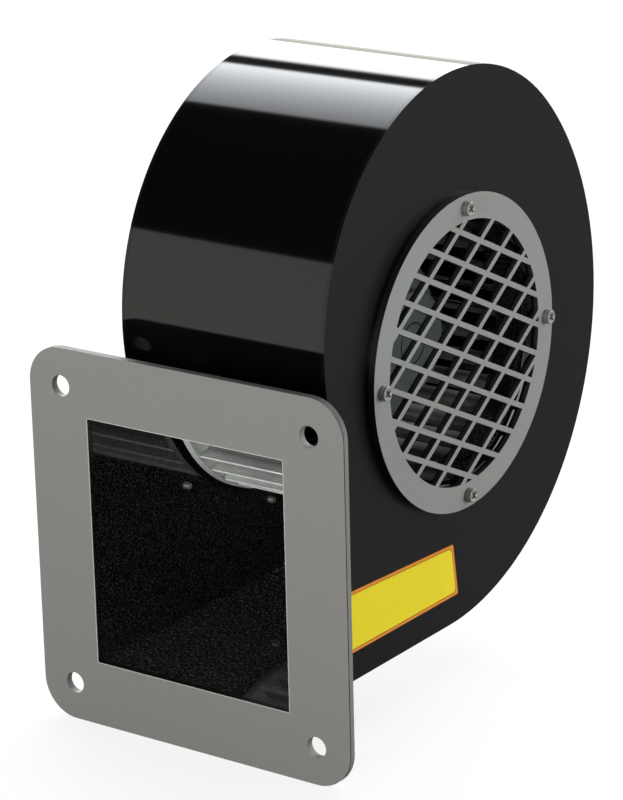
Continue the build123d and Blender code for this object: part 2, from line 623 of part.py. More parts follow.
def motor_plate_screws():
    length = MOTOR_PLATE_SHEET + SIDE_SHEET + TIP_LENGTH
    screw = Rot(Z=180) * pan_screw(M4_RADIUS, M4_HEAD_RADIUS, M4_HEAD, length, M4_RECESS)
    return around(Pos(MOTOR_PLATE_FACE, MOTOR_PLATE_SCREW_CIRCLE, 0) * screw, MOTOR_PLATE_SCREW_COUNT)


def shaft_cap():
    """Plastic cap pushed into the opening behind the shaft."""
    plug_end = MOTOR_PLATE_FACE + HOLE_CLEARANCE
    cap = ring(MOTOR_PLATE_FACE - CAP_RIM, MOTOR_PLATE_FACE, CAP_RIM_RADIUS)
    cap = fillet(cap.edges().group_by(Axis.X)[0], HEAD_EDGE)
    return cap + ring(MOTOR_PLATE_FACE, plug_end, SHAFT_OPENING_RADIUS - HOLE_CLEARANCE)


# Terminal box, drawn round its own middle line along X and then lifted above the axis

def lead_hole_height():
    """Height of the lead hole above the motor axis, just inside the box."""
    return BOX_ABOVE_AXIS - BOX_HEIGHT / 2 + BOX_WALL + LEAD_HOLE_RADIUS + LEAD_HOLE_MARGIN


def box_screw_places():
    return (-BOX_SCREW_SPACING / 2, BOX_SCREW_SPACING / 2)


def box_screw_drop():
    """Height of the box's own screws, between the corner posts and the capacitor."""
    return CAPACITOR_Z - CAPACITOR_RADIUS - M4_HEAD_RADIUS - PART_CLEARANCE


def box_corners():
    """Places of the corner posts."""
    return GridLocations(BOX_LENGTH - 2 * BOX_POST_INSET, BOX_HEIGHT - 2 * BOX_POST_INSET, 2, 2)


def in_box(shape):
    """Shape drawn round the box's middle line, moved into place on the motor plate."""
    return Pos(0, AXIS_Y, BOX_Z) * shape


def terminal_box():
    outline = RectangleRounded(BOX_LENGTH, BOX_HEIGHT, BOX_CORNER)
    inside = RectangleRounded(BOX_LENGTH - 2 * BOX_WALL, BOX_HEIGHT - 2 * BOX_WALL, BOX_CORNER - BOX_WALL)
    tray = extrude(Plane.YZ.offset(BOX_MOUTH) * outline, BOX_DEPTH)
    tray -= extrude(Plane.YZ.offset(BOX_MOUTH) * inside, BOX_DEPTH - BOX_WALL)
    posts = Sketch() + [place * Circle(BOX_POST_RADIUS) for place in box_corners()]
    tray += extrude(Plane.YZ.offset(BOX_MOUTH) * posts, BOX_DEPTH - BOX_WALL)
    pilots = Sketch() + [place * Circle(M3_RADIUS) for place in box_corners()]
    tray -= extrude(Plane.YZ.offset(BOX_MOUTH) * pilots, BOX_DEPTH - 2 * BOX_WALL)
    lead = ring(BOX_FLOOR, MOTOR_PLATE_FACE, LEAD_HOLE_RADIUS)
    tray -= Pos(0, 0, lead_hole_height() - BOX_ABOVE_AXIS) * lead
    floor_hole = ring(BOX_FLOOR, MOTOR_PLATE_FACE, M4_RADIUS + HOLE_CLEARANCE)
    tray = less(tray, [Pos(0, y, box_screw_drop()) * floor_hole for y in box_screw_places()])
    gland_hole = Cylinder(GLAND_THREAD_RADIUS + HOLE_CLEARANCE, 4 * BOX_WALL)
    return tray - Pos(GLAND_X, 0, -BOX_HEIGHT / 2) * gland_hole


def terminal_box_lid():
    outline = RectangleRounded(BOX_LENGTH, BOX_HEIGHT, BOX_CORNER)
    lid = extrude(Plane.YZ.offset(BOX_MOUTH - BOX_LID) * outline, BOX_LID)
    lid = fillet(lid.faces().sort_by(Axis.X)[0].edges(), HEAD_EDGE)
    hole = ring(BOX_MOUTH - BOX_LID, BOX_MOUTH, M3_RADIUS + HOLE_CLEARANCE)
    return less(lid, [Pos(0, place.position.X, place.position.Y) * hole for place in box_corners()])


def lid_screws():
    length = BOX_LID + LID_SCREW_GRIP
    screw = Rot(Z=180) * pan_screw(M3_RADIUS, M3_HEAD_RADIUS, M3_HEAD, length)
    return [
        Pos(BOX_MOUTH - BOX_LID, place.position.X, place.position.Y) * screw
        for place in box_corners()
    ]


def box_screws():
    length = BOX_WALL + MOTOR_PLATE_SHEET
    screw = Rot(Z=180) * pan_screw(M4_RADIUS, M4_HEAD_RADIUS, M4_HEAD, length)
    return [Pos(BOX_FLOOR, y, box_screw_drop()) * screw for y in box_screw_places()]


def run_capacitor():
    """Round motor capacitor lying along Y against the floor of the box."""
    can = Rot(X=90) * Cylinder(CAPACITOR_RADIUS, CAPACITOR_LENGTH)
    can = fillet(can.edges().filter_by(GeomType.CIRCLE), CAPACITOR_EDGE)
    return Pos(BOX_FLOOR - CLIP_SHEET - CAPACITOR_RADIUS, 0, CAPACITOR_Z) * can


def capacitor_clip():
    """Spring clip round the capacitor, open towards the lid."""
    outer = CAPACITOR_RADIUS + CLIP_SHEET
    clip = Rot(X=90) * (Cylinder(outer, CLIP_WIDTH) - Cylinder(CAPACITOR_RADIUS, CLIP_WIDTH))
    clip -= Pos(-outer, 0, 0) * Box(outer, 2 * CLIP_WIDTH, 2 * outer)
    return Pos(BOX_FLOOR - outer, 0, CAPACITOR_Z) * clip


def terminal_block():
    """Insulated block with one stepped way for each lead."""
    block = Box(TERMINAL_DEPTH, TERMINAL_LENGTH, TERMINAL_HEIGHT)
    way = TERMINAL_LENGTH / TERMINAL_WAYS
    pocket = Box(TERMINAL_DEPTH / 2, way - 2 * CLIP_SHEET, TERMINAL_HEIGHT / 2)
    for i in range(TERMINAL_WAYS):
        y = (i - (TERMINAL_WAYS - 1) / 2) * way
        block -= Pos(-TERMINAL_DEPTH / 2, y, 0) * pocket
    z = CAPACITOR_Z - CAPACITOR_RADIUS - CLIP_SHEET - PART_CLEARANCE - TERMINAL_HEIGHT / 2
    return Pos(BOX_FLOOR - TERMINAL_DEPTH / 2, 0, z) * block


# Cable gland, drawn along X with the box wall's outer face at x = 0, then turned downwards

def downwards(shape):
    """Gland piece drawn along +X, turned to point down from the box's lower wall."""
    return Pos(GLAND_X, AXIS_Y, BOX_Z - BOX_HEIGHT / 2) * Rot(Y=90) * shape


def gland_body():
    body = ring(-BOX_WALL - GLAND_LOCKNUT - HOLE_CLEARANCE, 0, GLAND_THREAD_RADIUS, GLAND_BORE / 2)
    body += hex_bar(0, GLAND_COLLAR, GLAND_HEX, GLAND_BORE / 2)
    return body + ring(GLAND_COLLAR, GLAND_COLLAR + GLAND_THREAD_LENGTH, GLAND_THREAD_RADIUS, GLAND_BORE / 2)


def gland_locknut():
    return hex_bar(-BOX_WALL - GLAND_LOCKNUT, -BOX_WALL, GLAND_HEX, GLAND_THREAD_RADIUS)


def gland_seal():
    start = GLAND_COLLAR + GLAND_THREAD_LENGTH
    return ring(start, start + GLAND_SEAL_LENGTH, GLAND_THREAD_RADIUS, GLAND_BORE / 2)


def gland_nut():
    """Domed nut that squeezes the seal round a cable."""
    end = GLAND_COLLAR + GLAND_NUT_LENGTH
    seal_end = GLAND_COLLAR + GLAND_THREAD_LENGTH + GLAND_SEAL_LENGTH
    nut = ring(GLAND_COLLAR, end, GLAND_HEX / 2)
    nut = fillet(nut.edges().group_by(Axis.X)[-1], end - seal_end)
    nut -= ring(GLAND_COLLAR, end, GLAND_BORE / 2)
    return nut - ring(GLAND_COLLAR, seal_end, GLAND_THREAD_RADIUS)


def main():
    os.makedirs("parts", exist_ok=True)

    save("inlet_side_plate", inlet_side_plate())
    save("motor_side_plate", motor_side_plate())
    save("scroll_wrap", scroll_wrap())
    save("discharge_flange", discharge_flange())

    pieces_on_axis = {
        "inlet_cone": [inlet_cone()],
        "inlet_guard": [inlet_guard()],
        "guard_screws": guard_screws(),
        "guard_nuts": guard_nuts(),
        "wheel_blades": wheel_blades(),
        "wheel_backplate": [wheel_backplate()],
        "wheel_front_ring": [wheel_front_ring()],
        "wheel_rivets": wheel_rivets(),
        "rotor_can": [rotor_can()],
        "rotor_hub": [rotor_hub()],
        "rotor_core": [rotor_core()],
        "rotor_cage_rings": rotor_cage_rings(),
        "motor_shaft": [motor_shaft()],
        "shaft_circlip": [shaft_circlip()],
        "bearing_inner_races": [bearing_inner_race(REAR_BEARING), bearing_inner_race(FRONT_BEARING)],
        "bearing_outer_races": [bearing_outer_race(REAR_BEARING), bearing_outer_race(FRONT_BEARING)],
        "bearing_balls": bearing_balls(REAR_BEARING) + bearing_balls(FRONT_BEARING),
        "preload_washer": [preload_washer()],
        "stator_flange": [stator_flange()],
        "stator_core": [stator_core()],
        "stator_winding": [stator_winding()],
        "stator_bolts": stator_bolts(),
        "motor_plate": [motor_plate()],
        "motor_plate_screws": motor_plate_screws(),
        "shaft_cap": [shaft_cap()],
    }
    for name, pieces in pieces_on_axis.items():
        save(name, [on_axis(piece) for piece in pieces])

    pieces_in_box = {
        "terminal_box": [terminal_box()],
        "terminal_box_lid": [terminal_box_lid()],
        "lid_screws": lid_screws(),
        "box_screws": box_screws(),
        "run_capacitor": [run_capacitor()],
        "capacitor_clip": [capacitor_clip()],
        "terminal_block": [terminal_block()],
    }
    for name, pieces in pieces_in_box.items():
        save(name, [in_box(piece) for piece in pieces])

    save("gland_body", downwards(gland_body()))
    save("gland_locknut", downwards(gland_locknut()))
    save("gland_seal", downwards(gland_seal()))
    save("gland_nut", downwards(gland_nut()))


main()
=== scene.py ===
"""Studio scene of a single-inlet centrifugal blower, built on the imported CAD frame.

The CAD gives every solid its place. This script gives each of them a finish, adds the small
trim that the solids leave out, and sets up the camera, the floor and the light.
Lengths are in metres where nothing else is said. +X runs along the motor axis towards the
inlet, -Y the way the air leaves and +Z up.
"""

import json
import logging
from dataclasses import dataclass
from enum import Enum
from functools import cached_property
from math import cos, hypot, pi, radians, sin
from typing import ClassVar, Sequence

import bmesh
import bpy
from mathutils import Euler, Matrix, Vector


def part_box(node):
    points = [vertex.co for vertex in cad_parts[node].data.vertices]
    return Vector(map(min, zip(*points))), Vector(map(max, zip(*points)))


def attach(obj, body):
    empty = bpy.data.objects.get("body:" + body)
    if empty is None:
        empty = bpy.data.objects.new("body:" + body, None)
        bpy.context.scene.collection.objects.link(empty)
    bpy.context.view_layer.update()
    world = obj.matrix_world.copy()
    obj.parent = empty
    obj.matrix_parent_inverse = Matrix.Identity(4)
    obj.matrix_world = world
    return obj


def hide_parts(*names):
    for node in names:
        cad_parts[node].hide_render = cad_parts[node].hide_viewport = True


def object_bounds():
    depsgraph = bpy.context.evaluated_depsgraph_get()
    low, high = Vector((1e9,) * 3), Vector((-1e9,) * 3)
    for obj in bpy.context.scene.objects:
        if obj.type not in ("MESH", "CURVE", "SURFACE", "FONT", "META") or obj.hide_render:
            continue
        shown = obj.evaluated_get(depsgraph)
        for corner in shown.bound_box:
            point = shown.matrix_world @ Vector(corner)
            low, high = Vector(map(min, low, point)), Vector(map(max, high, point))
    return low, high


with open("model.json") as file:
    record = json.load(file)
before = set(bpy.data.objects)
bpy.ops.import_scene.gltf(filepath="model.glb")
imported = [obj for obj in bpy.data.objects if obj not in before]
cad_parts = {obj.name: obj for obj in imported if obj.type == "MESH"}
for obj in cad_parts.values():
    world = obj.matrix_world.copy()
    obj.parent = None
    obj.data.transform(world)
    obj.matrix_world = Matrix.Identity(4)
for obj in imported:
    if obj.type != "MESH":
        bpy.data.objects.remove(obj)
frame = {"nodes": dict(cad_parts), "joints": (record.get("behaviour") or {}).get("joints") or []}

log = logging.getLogger("blower")

Socket = bpy.types.NodeSocket
Value = Socket | float | Sequence[float]
Colour = tuple[float, float, float]
Pair = tuple[float, float]

MM = 0.001
CAD_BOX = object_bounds()
# The motor axis, along Y and up Z, from the joint that spins the wheel.
AXIS: Pair = tuple(frame["joints"][0]["pos_m"][1:])
# Cosines past which a face counts as looking along an axis, and as lying level.
FACING = 0.5
LEVEL = 0.7
# Noise at which a painted glint speck starts, and at which it is full.
GLINT_SPECKS: Pair = (0.44, 0.69)
# A Mix node's colour sockets share their names with its number sockets, so they go by number.
COLOUR_A, COLOUR_B, COLOUR_RESULT = 6, 7, 2
# Radians that a Wave texture of scale 1 turns through in one unit of length.
WAVE_RATE = 20
WHITE = (1.0, 1.0, 1.0, 1.0)
BLACK = (0.0, 0.0, 0.0, 1.0)


def linear(colour: Colour) -> tuple[float, float, float, float]:
    """Linear colour from screen values of 0 to 255.

    Args:
        colour: red, green and blue.

    Returns:
        The colour as a shader socket takes it, with an alpha of 1.
    """
    channels = [value / 255 for value in colour]
    curve = [c / 12.92 if c <= 0.04045 else ((c + 0.055) / 1.055) ** 2.4 for c in channels]
    return (*curve, 1.0)


class Grain(Enum):
    """Pattern that breaks up a finish."""

    ORANGE_PEEL = "sprayed paint, finely dimpled"
    POWDER = "powder coat, finely pebbled"
    SPANGLE = "zinc crystals"
    TURNED = "rings left by a lathe"
    DRAWN = "streaks along the motor axis"
    STACKED = "thin sheets pressed together"
    CAST = "sand or die casting"
    MOULDED = "plastic from an eroded mould"


class NodeSteps:
    """The steps that every node tree here is built from."""

    def __init__(self, tree: bpy.types.NodeTree) -> None:
        """Works on one tree."""
        self.tree = tree

    def link(self, source: Value, target: Socket) -> None:
        """Joins an output to an input, or writes a plain value into it.

        Args:
            source: the output or the value.
            target: the input.
        """
        if isinstance(source, Socket):
            self.tree.links.new(source, target)
        else:
            target.default_value = source

    def node(
        self, kind: str, inputs: dict[str | int, Value] | None = None, **settings: object
    ) -> bpy.types.Node:
        """Adds a node.

        Args:
            kind: the node's type.
            inputs: socket or value for each input, by its name or number.
            settings: the node's own properties.

        Returns:
            The node.
        """
        made = self.tree.nodes.new(kind)
        for key, value in settings.items():
            setattr(made, key, value)
        for key, value in (inputs or {}).items():
            self.link(value, made.inputs[key])
        return made

    def maths(self, operation: str, *values: Value) -> Socket:
        """Result of one Math node."""
        return self.node("ShaderNodeMath", dict(enumerate(values)), operation=operation).outputs[0]

    def absolute(self, value: Value) -> Socket:
        """A value without its sign."""
        return self.maths("ABSOLUTE", value)

    def less(self, value: Value, taken: Value) -> Socket:
        """A value with another one taken from it."""
        return self.maths("SUBTRACT", value, taken)

    def times(self, one: Value, other: Value) -> Socket:
        """Product of two values; of two zones, where they overlap."""
        return self.maths("MULTIPLY", one, other)

    def larger(self, one: Value, other: Value) -> Socket:
        """The larger of two values; of two zones, both together."""
        return self.maths("MAXIMUM", one, other)

    def above(self, value: Value, limit: float) -> Socket:
        """1 where a value is over its limit, else 0."""
        return self.maths("GREATER_THAN", value, limit)

    def below(self, value: Value, limit: float) -> Socket:
        """1 where a value is under its limit, else 0."""
        return self.maths("LESS_THAN", value, limit)

    def within(self, value: Value, low: float, high: float) -> Socket:
        """1 where a value lies between two limits, else 0."""
        return self.times(self.above(value, low), self.below(value, high))

    def past(self, values: Sequence[Value], limits: Sequence[float]) -> list[Socket]:
        """How far each value is past its limit, which is in millimetres."""
        return [self.less(value, limit * MM) for value, limit in zip(values, limits)]

    def distance(self, across: Value, up: Value) -> Socket:
        """Length of the diagonal of two numbers."""
        return self.maths("SQRT", self.maths("ADD", self.times(across, across), self.times(up, up)))

    def split(self, vector: Socket) -> list[Socket]:
        """The three parts of a vector."""
        return list(self.node("ShaderNodeSeparateXYZ", {0: vector}).outputs)

    def between(self, factor: Value, low: Value, high: Value) -> Socket:
        """Number between two others."""
        made = self.node("ShaderNodeMix", {"Factor": factor, "A": low, "B": high}, data_type="FLOAT")
        return made.outputs["Result"]

    def blend(self, factor: Value, low: Value, high: Value, how: str = "MIX") -> Socket:
        """Colour between two others, or the two put together in another way.

        Args:
            factor: 0 for the first colour, 1 for the second.
            low: the first colour.
            high: the second colour.
            how: the node's blend type.

        Returns:
            The colour.
        """
        colours = {"Factor": factor, COLOUR_A: low, COLOUR_B: high}
        made = self.node("ShaderNodeMix", colours, data_type="RGBA", blend_type=how)
        return made.outputs[COLOUR_RESULT]


@dataclass
class Surface:
    """What a finish sends to its shader, each as a socket or a plain value.

    Attributes:
        colour: base colour.
        roughness: roughness.
        height: bump pattern.
        relief: depth of the bump, in millimetres.
        coat: share of clear glaze over it.
    """

    colour: Value
    roughness: Value
    height: Value
    relief: Value
    coat: Value = 0.0


class ShaderTree(NodeSteps):
    """A material's nodes, with the steps that its finish uses."""

    def __init__(self, name: str) -> None:
        """Starts a material with one Principled shader.

        Args:
            name: the material's name.
        """
        self.material = bpy.data.materials.new(name)
        self.material.use_nodes = True
        super().__init__(self.material.node_tree)
        self.shader = self.tree.nodes["Principled BSDF"]
        self.place = self.node("ShaderNodeTexCoord").outputs["Object"]

    @cached_property
    def point(self) -> list[Socket]:
        """The three parts of a point's place on the object."""
        return self.split(self.place)

    @cached_property
    def normal(self) -> list[Socket]:
        """The three parts of the face's normal, in the object's own frame, so that they turn with it.

        Returns:
            The parts along X, Y and Z.
        """
        ways = {"vector_type": "NORMAL", "convert_from": "WORLD", "convert_to": "OBJECT"}
        world = self.node("ShaderNodeNewGeometry").outputs["True Normal"]
        return self.split(self.node("ShaderNodeVectorTransform", {0: world}, **ways).outputs[0])

    def from_line(self, middle: Pair) -> tuple[Socket, Socket]:
        """How far along Y and up Z a point lies from a line along X."""
        return self.less(self.point[1], middle[0]), self.less(self.point[2], middle[1])

    def radius(self) -> Socket:
        """Distance from the motor axis."""
        return self.distance(*self.from_line(AXIS))

    def outward(self, middle: Pair) -> Socket:
        """How far a point lies from a line along X, counted along its face's normal.

        Args:
            middle: the line's place, along Y and up Z.

        Returns:
            The distance, below 0 where the face looks towards the line.
        """
        across, up = self.from_line(middle)
        return self.maths("ADD", self.times(across, self.normal[1]), self.times(up, self.normal[2]))

    def ramp(self, value: Value, start: float, end: float) -> Socket:
        """Share that goes from 0 where a value is at its start to 1 at its end."""
        made = self.node("ShaderNodeMapRange", {"Value": value, "From Min": start, "From Max": end})
        return made.outputs["Result"]

    def noise(self, size: float, detail: float = 3.0, stretch: Sequence[float] = (1, 1, 1)) -> Socket:
        """Noise of one grain size.

        Args:
            size: size of one grain, in millimetres.
            detail: octaves.
            stretch: scale along each axis.

        Returns:
            The noise, from 0 to 1.
        """
        turned = self.node("ShaderNodeMapping", {"Scale": stretch, "Vector": self.place}).outputs[0]
        inputs = {"Scale": 1 / (size * MM), "Detail": detail, "Vector": turned}
        return self.node("ShaderNodeTexNoise", inputs).outputs["Fac"]

    def cells(self, size: float) -> Socket:
        """Flat crystals of one size, each with a shade of its own."""
        made = self.node("ShaderNodeTexVoronoi", {"Scale": 1 / (size * MM), "Vector": self.place})
        return self.node("ShaderNodeSeparateColor", {0: made.outputs["Color"]}).outputs[0]

    def bands(self, size: float, waver: float = 0.6, detail: float = 2.0, **direction: str) -> Socket:
        """Fine bands, as rings round the motor axis or as sheets stacked along it.

        Args:
            size: length of one radian of the wave, in millimetres.
            waver: how far the bands are distorted.
            detail: octaves of that.
            direction: the node's own properties that choose between the two.

        Returns:
            The bands, from 0 to 1.
        """
        centred = self.node("ShaderNodeMapping", {"Location": (0, -AXIS[0], -AXIS[1]), "Vector": self.place})
        scale = 1 / (size * MM * WAVE_RATE)
        inputs = {"Scale": scale, "Distortion": waver, "Detail": detail, "Vector": centred.outputs[0]}
        return self.node("ShaderNodeTexWave", inputs, **direction).outputs["Fac"]

    def grain(self, kind: Grain, size: float) -> Socket:
        """The pattern that a grain names, in most of them a fine one with a share of a broad one.

        Args:
            kind: which pattern.
            size: its size in millimetres.

        Returns:
            The pattern, from 0 to 1.
        """
        if kind is Grain.SPANGLE:
            return self.between(0.35, self.cells(size), self.noise(size / 6))
        if kind is Grain.TURNED:
            rings = self.bands(size, wave_type="RINGS", rings_direction="X")
            return self.between(0.5, rings, self.noise(size * 12))
        if kind is Grain.STACKED:
            return self.bands(size, bands_direction="X")
        if kind is Grain.DRAWN:
            return self.noise(size, 4.0, (0.08, 1, 1))
        if kind is Grain.CAST:
            return self.between(0.5, self.noise(size, 5.0), self.cells(size / 2))
        if kind is Grain.POWDER:
            return self.between(0.4, self.noise(size, 2.0), self.noise(size * 30, 3.0))
        if kind is Grain.MOULDED:
            return self.between(0.3, self.noise(size, 6.0), self.noise(size * 40, 2.0))
        return self.between(0.3, self.noise(size, 1.0), self.noise(size * 12, 2.0))

    def bump(self, height: Value, depth: Value) -> Socket:
        """Normal of a pattern read as height.

        Args:
            height: the pattern.
            depth: its depth in millimetres.

        Returns:
            The normal.
        """
        deep = self.times(depth, MM) if isinstance(depth, Socket) else depth * MM
        inputs = {"Strength": 1.0, "Distance": deep, "Height": height}
        return self.node("ShaderNodeBump", inputs).outputs["Normal"]

    def finish(self, surface: Surface, metallic: float, specular: float) -> bpy.types.Material:
        """Sends a surface to the shader.

        Args:
            surface: the surface.
            metallic: 1 for bare metal.
            specular: specular level.

        Returns:
            The finished material.
        """
        inputs = {
            "Base Color": surface.colour,
            "Roughness": surface.roughness,
            "Normal": self.bump(surface.height, surface.relief),
            "Coat Weight": surface.coat,
            "Metallic": metallic,
            "Specular IOR Level": specular,
        }
        for name, value in inputs.items():
            self.link(value, self.shader.inputs[name])
        return self.material


@dataclass(frozen=True)
class Finish:
    """One surface finish, made as a procedural material on Object coordinates.

    Attributes:
        slot: the record's material slot.
        colour: base colour in screen values.
        roughness: middle roughness.
        grain: pattern of the surface.
        size: size of one grain, or of one radian of its bands, in millimetres.
        relief: depth of the grain as a bump, in millimetres.
        mottle: how far the grain lightens and darkens the colour, as a share.
        metallic: 1 for bare metal.
        specular: specular level.
    """

    slot: str
    colour: Colour
    roughness: float
    grain: Grain
    size: float
    relief: float = 0.01
    mottle: float = 0.06
    metallic: float = 0.0
    specular: float = 0.5

    def surface(self, shades: ShaderTree) -> Surface:
        """The finish's plain surface, the same wherever it lies.

        Args:
            shades: the material's nodes.

        Returns:
            The surface.
        """
        pattern = shades.grain(self.grain, self.size)
        less, more = 1 - self.mottle, 1 + self.mottle
        low = linear(tuple(channel * less for channel in self.colour))
        high = linear(tuple(min(255, channel * more) for channel in self.colour))
        roughness = shades.between(pattern, self.roughness * more, self.roughness * less)
        return Surface(shades.blend(pattern, low, high), roughness, pattern, self.relief)

    def zones(self, shades: ShaderTree, surface: Surface) -> None:
        """Changes the surface where a part has zones of its own; a plain finish has none."""

    def material(self) -> bpy.types.Material:
        """Builds the material.

        Returns:
            A material with one Principled shader.
        """
        shades = ShaderTree(self.slot)
        surface = self.surface(shades)
        self.zones(shades, surface)
        return shades.finish(surface, self.metallic, self.specular)


@dataclass(frozen=True)
class ScrollPaint(Finish):
    """Black paint, smooth on the outside and sprayed thin on the inside of the scroll, where light specks are
    painted glints, lighter on the floor as painted light.

    Attributes:
        face_roughness: roughness of the outer faces that look along X.
        inner_roughness: roughness of the inside.
        inner_size: size of one speck on the inside, a bump that also carries a painted glint, in millimetres.
        inner_relief: its height, in millimetres.
        inner_colour: colour of the inside.
        painted_glint_colour: light specks of painted glint on it.
        painted_floor_glint_colour: their lighter colour on the floor, painted light.
        floor_stretch: scale of the droplets along each axis on floor and roof, drawn out along the air.
        glaze: share of clear glaze over the inside, which mirrors the wheel.
        heart: a point, along Y and up Z in millimetres, that every wall has its inside towards.
    """

    face_roughness: float = 0.07
    inner_roughness: float = 0.06
    inner_size: float = 0.85
    inner_relief: float = 0.002
    inner_colour: Colour = (6, 6, 6)
    painted_glint_colour: Colour = (64, 64, 63)
    painted_floor_glint_colour: Colour = (96, 96, 94)
    floor_stretch: tuple[float, float, float] = (1.0, 0.4, 1.0)
    glaze: float = 0.4
    heart: Pair = (100.0, 30.0)

    def zones(self, shades: ShaderTree, surface: Surface) -> None:
        """Makes the cheeks' faces satin, and gives the inside painted glint specks, lighter on the floor.

        Args:
            shades: the material's nodes.
            surface: the surface to change.
        """
        normal = shades.normal
        cheek = shades.above(shades.absolute(normal[0]), FACING)
        outward = shades.outward((self.heart[0] * MM, self.heart[1] * MM))
        side = shades.between(cheek, outward, shades.times(shades.point[0], normal[0]))
        inside = shades.below(side, 0.0)
        level = shades.above(shades.absolute(normal[2]), LEVEL)
        droplets = shades.between(
            level, shades.noise(self.inner_size, 2.0), shades.noise(self.inner_size, 2.0, self.floor_stretch)
        )
        # Painted glints: light specks on the inside, lighter still on upward faces as painted light on the
        # floor.
        upward = shades.above(normal[2], LEVEL)
        glints = shades.blend(upward, linear(self.painted_glint_colour), linear(self.painted_floor_glint_colour))
        speckled_glints = shades.blend(shades.ramp(droplets, *GLINT_SPECKS), linear(self.inner_colour), glints)
        outer_roughness = shades.between(cheek, surface.roughness, self.face_roughness)
        surface.colour = shades.blend(inside, surface.colour, speckled_glints)
        surface.roughness = shades.between(inside, outer_roughness, self.inner_roughness)
        surface.height = shades.between(inside, surface.height, droplets)
        surface.relief = shades.between(inside, self.relief, self.inner_relief)
        surface.coat = shades.times(inside, self.glaze)


@dataclass(frozen=True)
class FlangePaint(Finish):
    """Grey sheet with a darker cut edge, painted shade where that edge faces up and a painted highlight along
    the opening's front corner, sprayed black in its opening and behind with the duct, with painted glint
    specks on the opening's edge.

    Attributes:
        edge_colour: the cut edge.
        line_colour: the shadow line along the edge, behind the broken front corner.
        line: where that line starts and ends behind the front face, in millimetres.
        upper_shade_colour: painted shade on the outer edge where it faces up.
        upper: upward parts of the normal at which that painted shade starts and is full.
        opening: half width and half height that hold the whole opening, in millimetres.
        hole: half the spacing of the holes, across and up, in millimetres.
        hole_reach: radius round a hole's centre that its wall lies in, in millimetres.
        duct_colour: the opening's edge, sprayed with the duct.
        duct_roughness: its roughness.
        painted_glint_colour: light specks of painted glint on it.
        glint_size: size of one painted glint speck, in millimetres.
        duct: half width and half height of the duct, in millimetres.
        lip: how far the painted highlight on the opening's front corner reaches each way, in millimetres.
        lip_highlight_colour: the painted highlight on that corner.
    """

    edge_colour: Colour = (128, 129, 128)
    line_colour: Colour = (20, 20, 20)
    line: Pair = (0.35, 1.0)
    upper_shade_colour: Colour = (34, 35, 35)
    upper: Pair = (0.0, 0.8)
    opening: Pair = (60.0, 65.5)
    hole: Pair = (75.0, 79.0)
    hole_reach: float = 7.0
    duct_colour: Colour = (7, 7, 7)
    duct_roughness: float = 0.16
    painted_glint_colour: Colour = (56, 56, 55)
    glint_size: float = 0.85
    duct: Pair = (59.25, 64.5)
    lip: float = 0.35
    lip_highlight_colour: Colour = (196, 197, 192)

    def zones(self, shades: ShaderTree, surface: Surface) -> None:
        """Colours the outer edge, with painted shade where it faces up, the opening's edge with painted glint
        specks, and the back, paints a highlight on the opening's front corner, and leaves the holes' walls
        grey.

        Args:
            shades: the material's nodes.
            surface: the surface to change.
        """
        x, depth, z = shades.point
        place = (shades.absolute(x), shades.absolute(z))
        edge = shades.below(shades.absolute(shades.normal[1]), FACING)
        from_hole = shades.distance(*shades.past(place, self.hole))
        outer = shades.times(edge, shades.above(from_hole, self.hole_reach * MM))
        lined = shades.within(depth, self.line[0] * MM, self.line[1] * MM)
        cut = shades.blend(lined, linear(self.edge_colour), linear(self.line_colour))
        # Painted shade: the outer edge darkens where it faces up.
        cut = shades.blend(shades.ramp(shades.normal[2], *self.upper), cut, linear(self.upper_shade_colour))
        surface.colour = shades.blend(outer, surface.colour, cut)

        in_opening = shades.below(shades.larger(*shades.past(place, self.opening)), 0.0)
        inner = shades.times(edge, in_opening)
        black = shades.larger(inner, shades.above(shades.normal[1], FACING))
        # Painted glints: light specks on the opening's edge.
        droplets = shades.times(shades.ramp(shades.noise(self.glint_size, 2.0), *GLINT_SPECKS), inner)
        speckled_glints = shades.blend(droplets, linear(self.duct_colour), linear(self.painted_glint_colour))
        surface.colour = shades.blend(black, surface.colour, speckled_glints)
        surface.roughness = shades.between(black, surface.roughness, self.duct_roughness)

        # Painted highlight: a thin light line along the opening's front corner.
        from_duct = shades.larger(*shades.past(place, self.duct))
        worn = shades.below(shades.larger(from_duct, depth), self.lip * MM)
        surface.colour = shades.blend(worn, surface.colour, linear(self.lip_highlight_colour))


@dataclass(frozen=True)
class TurnedWithSeam(Finish):
    """Turned metal round the motor axis, with the dark seam where the hub was pressed in.

    Attributes:
        seam: inner and outer radius of the seam, in millimetres.
        seam_from: place along the axis past which the seam shows, in millimetres.
        seam_colour: its colour.
    """

    seam: Pair = (10.3, 11.1)
    seam_from: float = 33.0
    seam_colour: Colour = (9, 9, 10)

    def zones(self, shades: ShaderTree, surface: Surface) -> None:
        """Darkens the seam.

        Args:
            shades: the material's nodes.
            surface: the surface to change.
        """
        ring = shades.within(shades.radius(), self.seam[0] * MM, self.seam[1] * MM)
        seam = shades.times(ring, shades.above(shades.point[0], self.seam_from * MM))
        surface.colour = shades.blend(seam, surface.colour, linear(self.seam_colour))


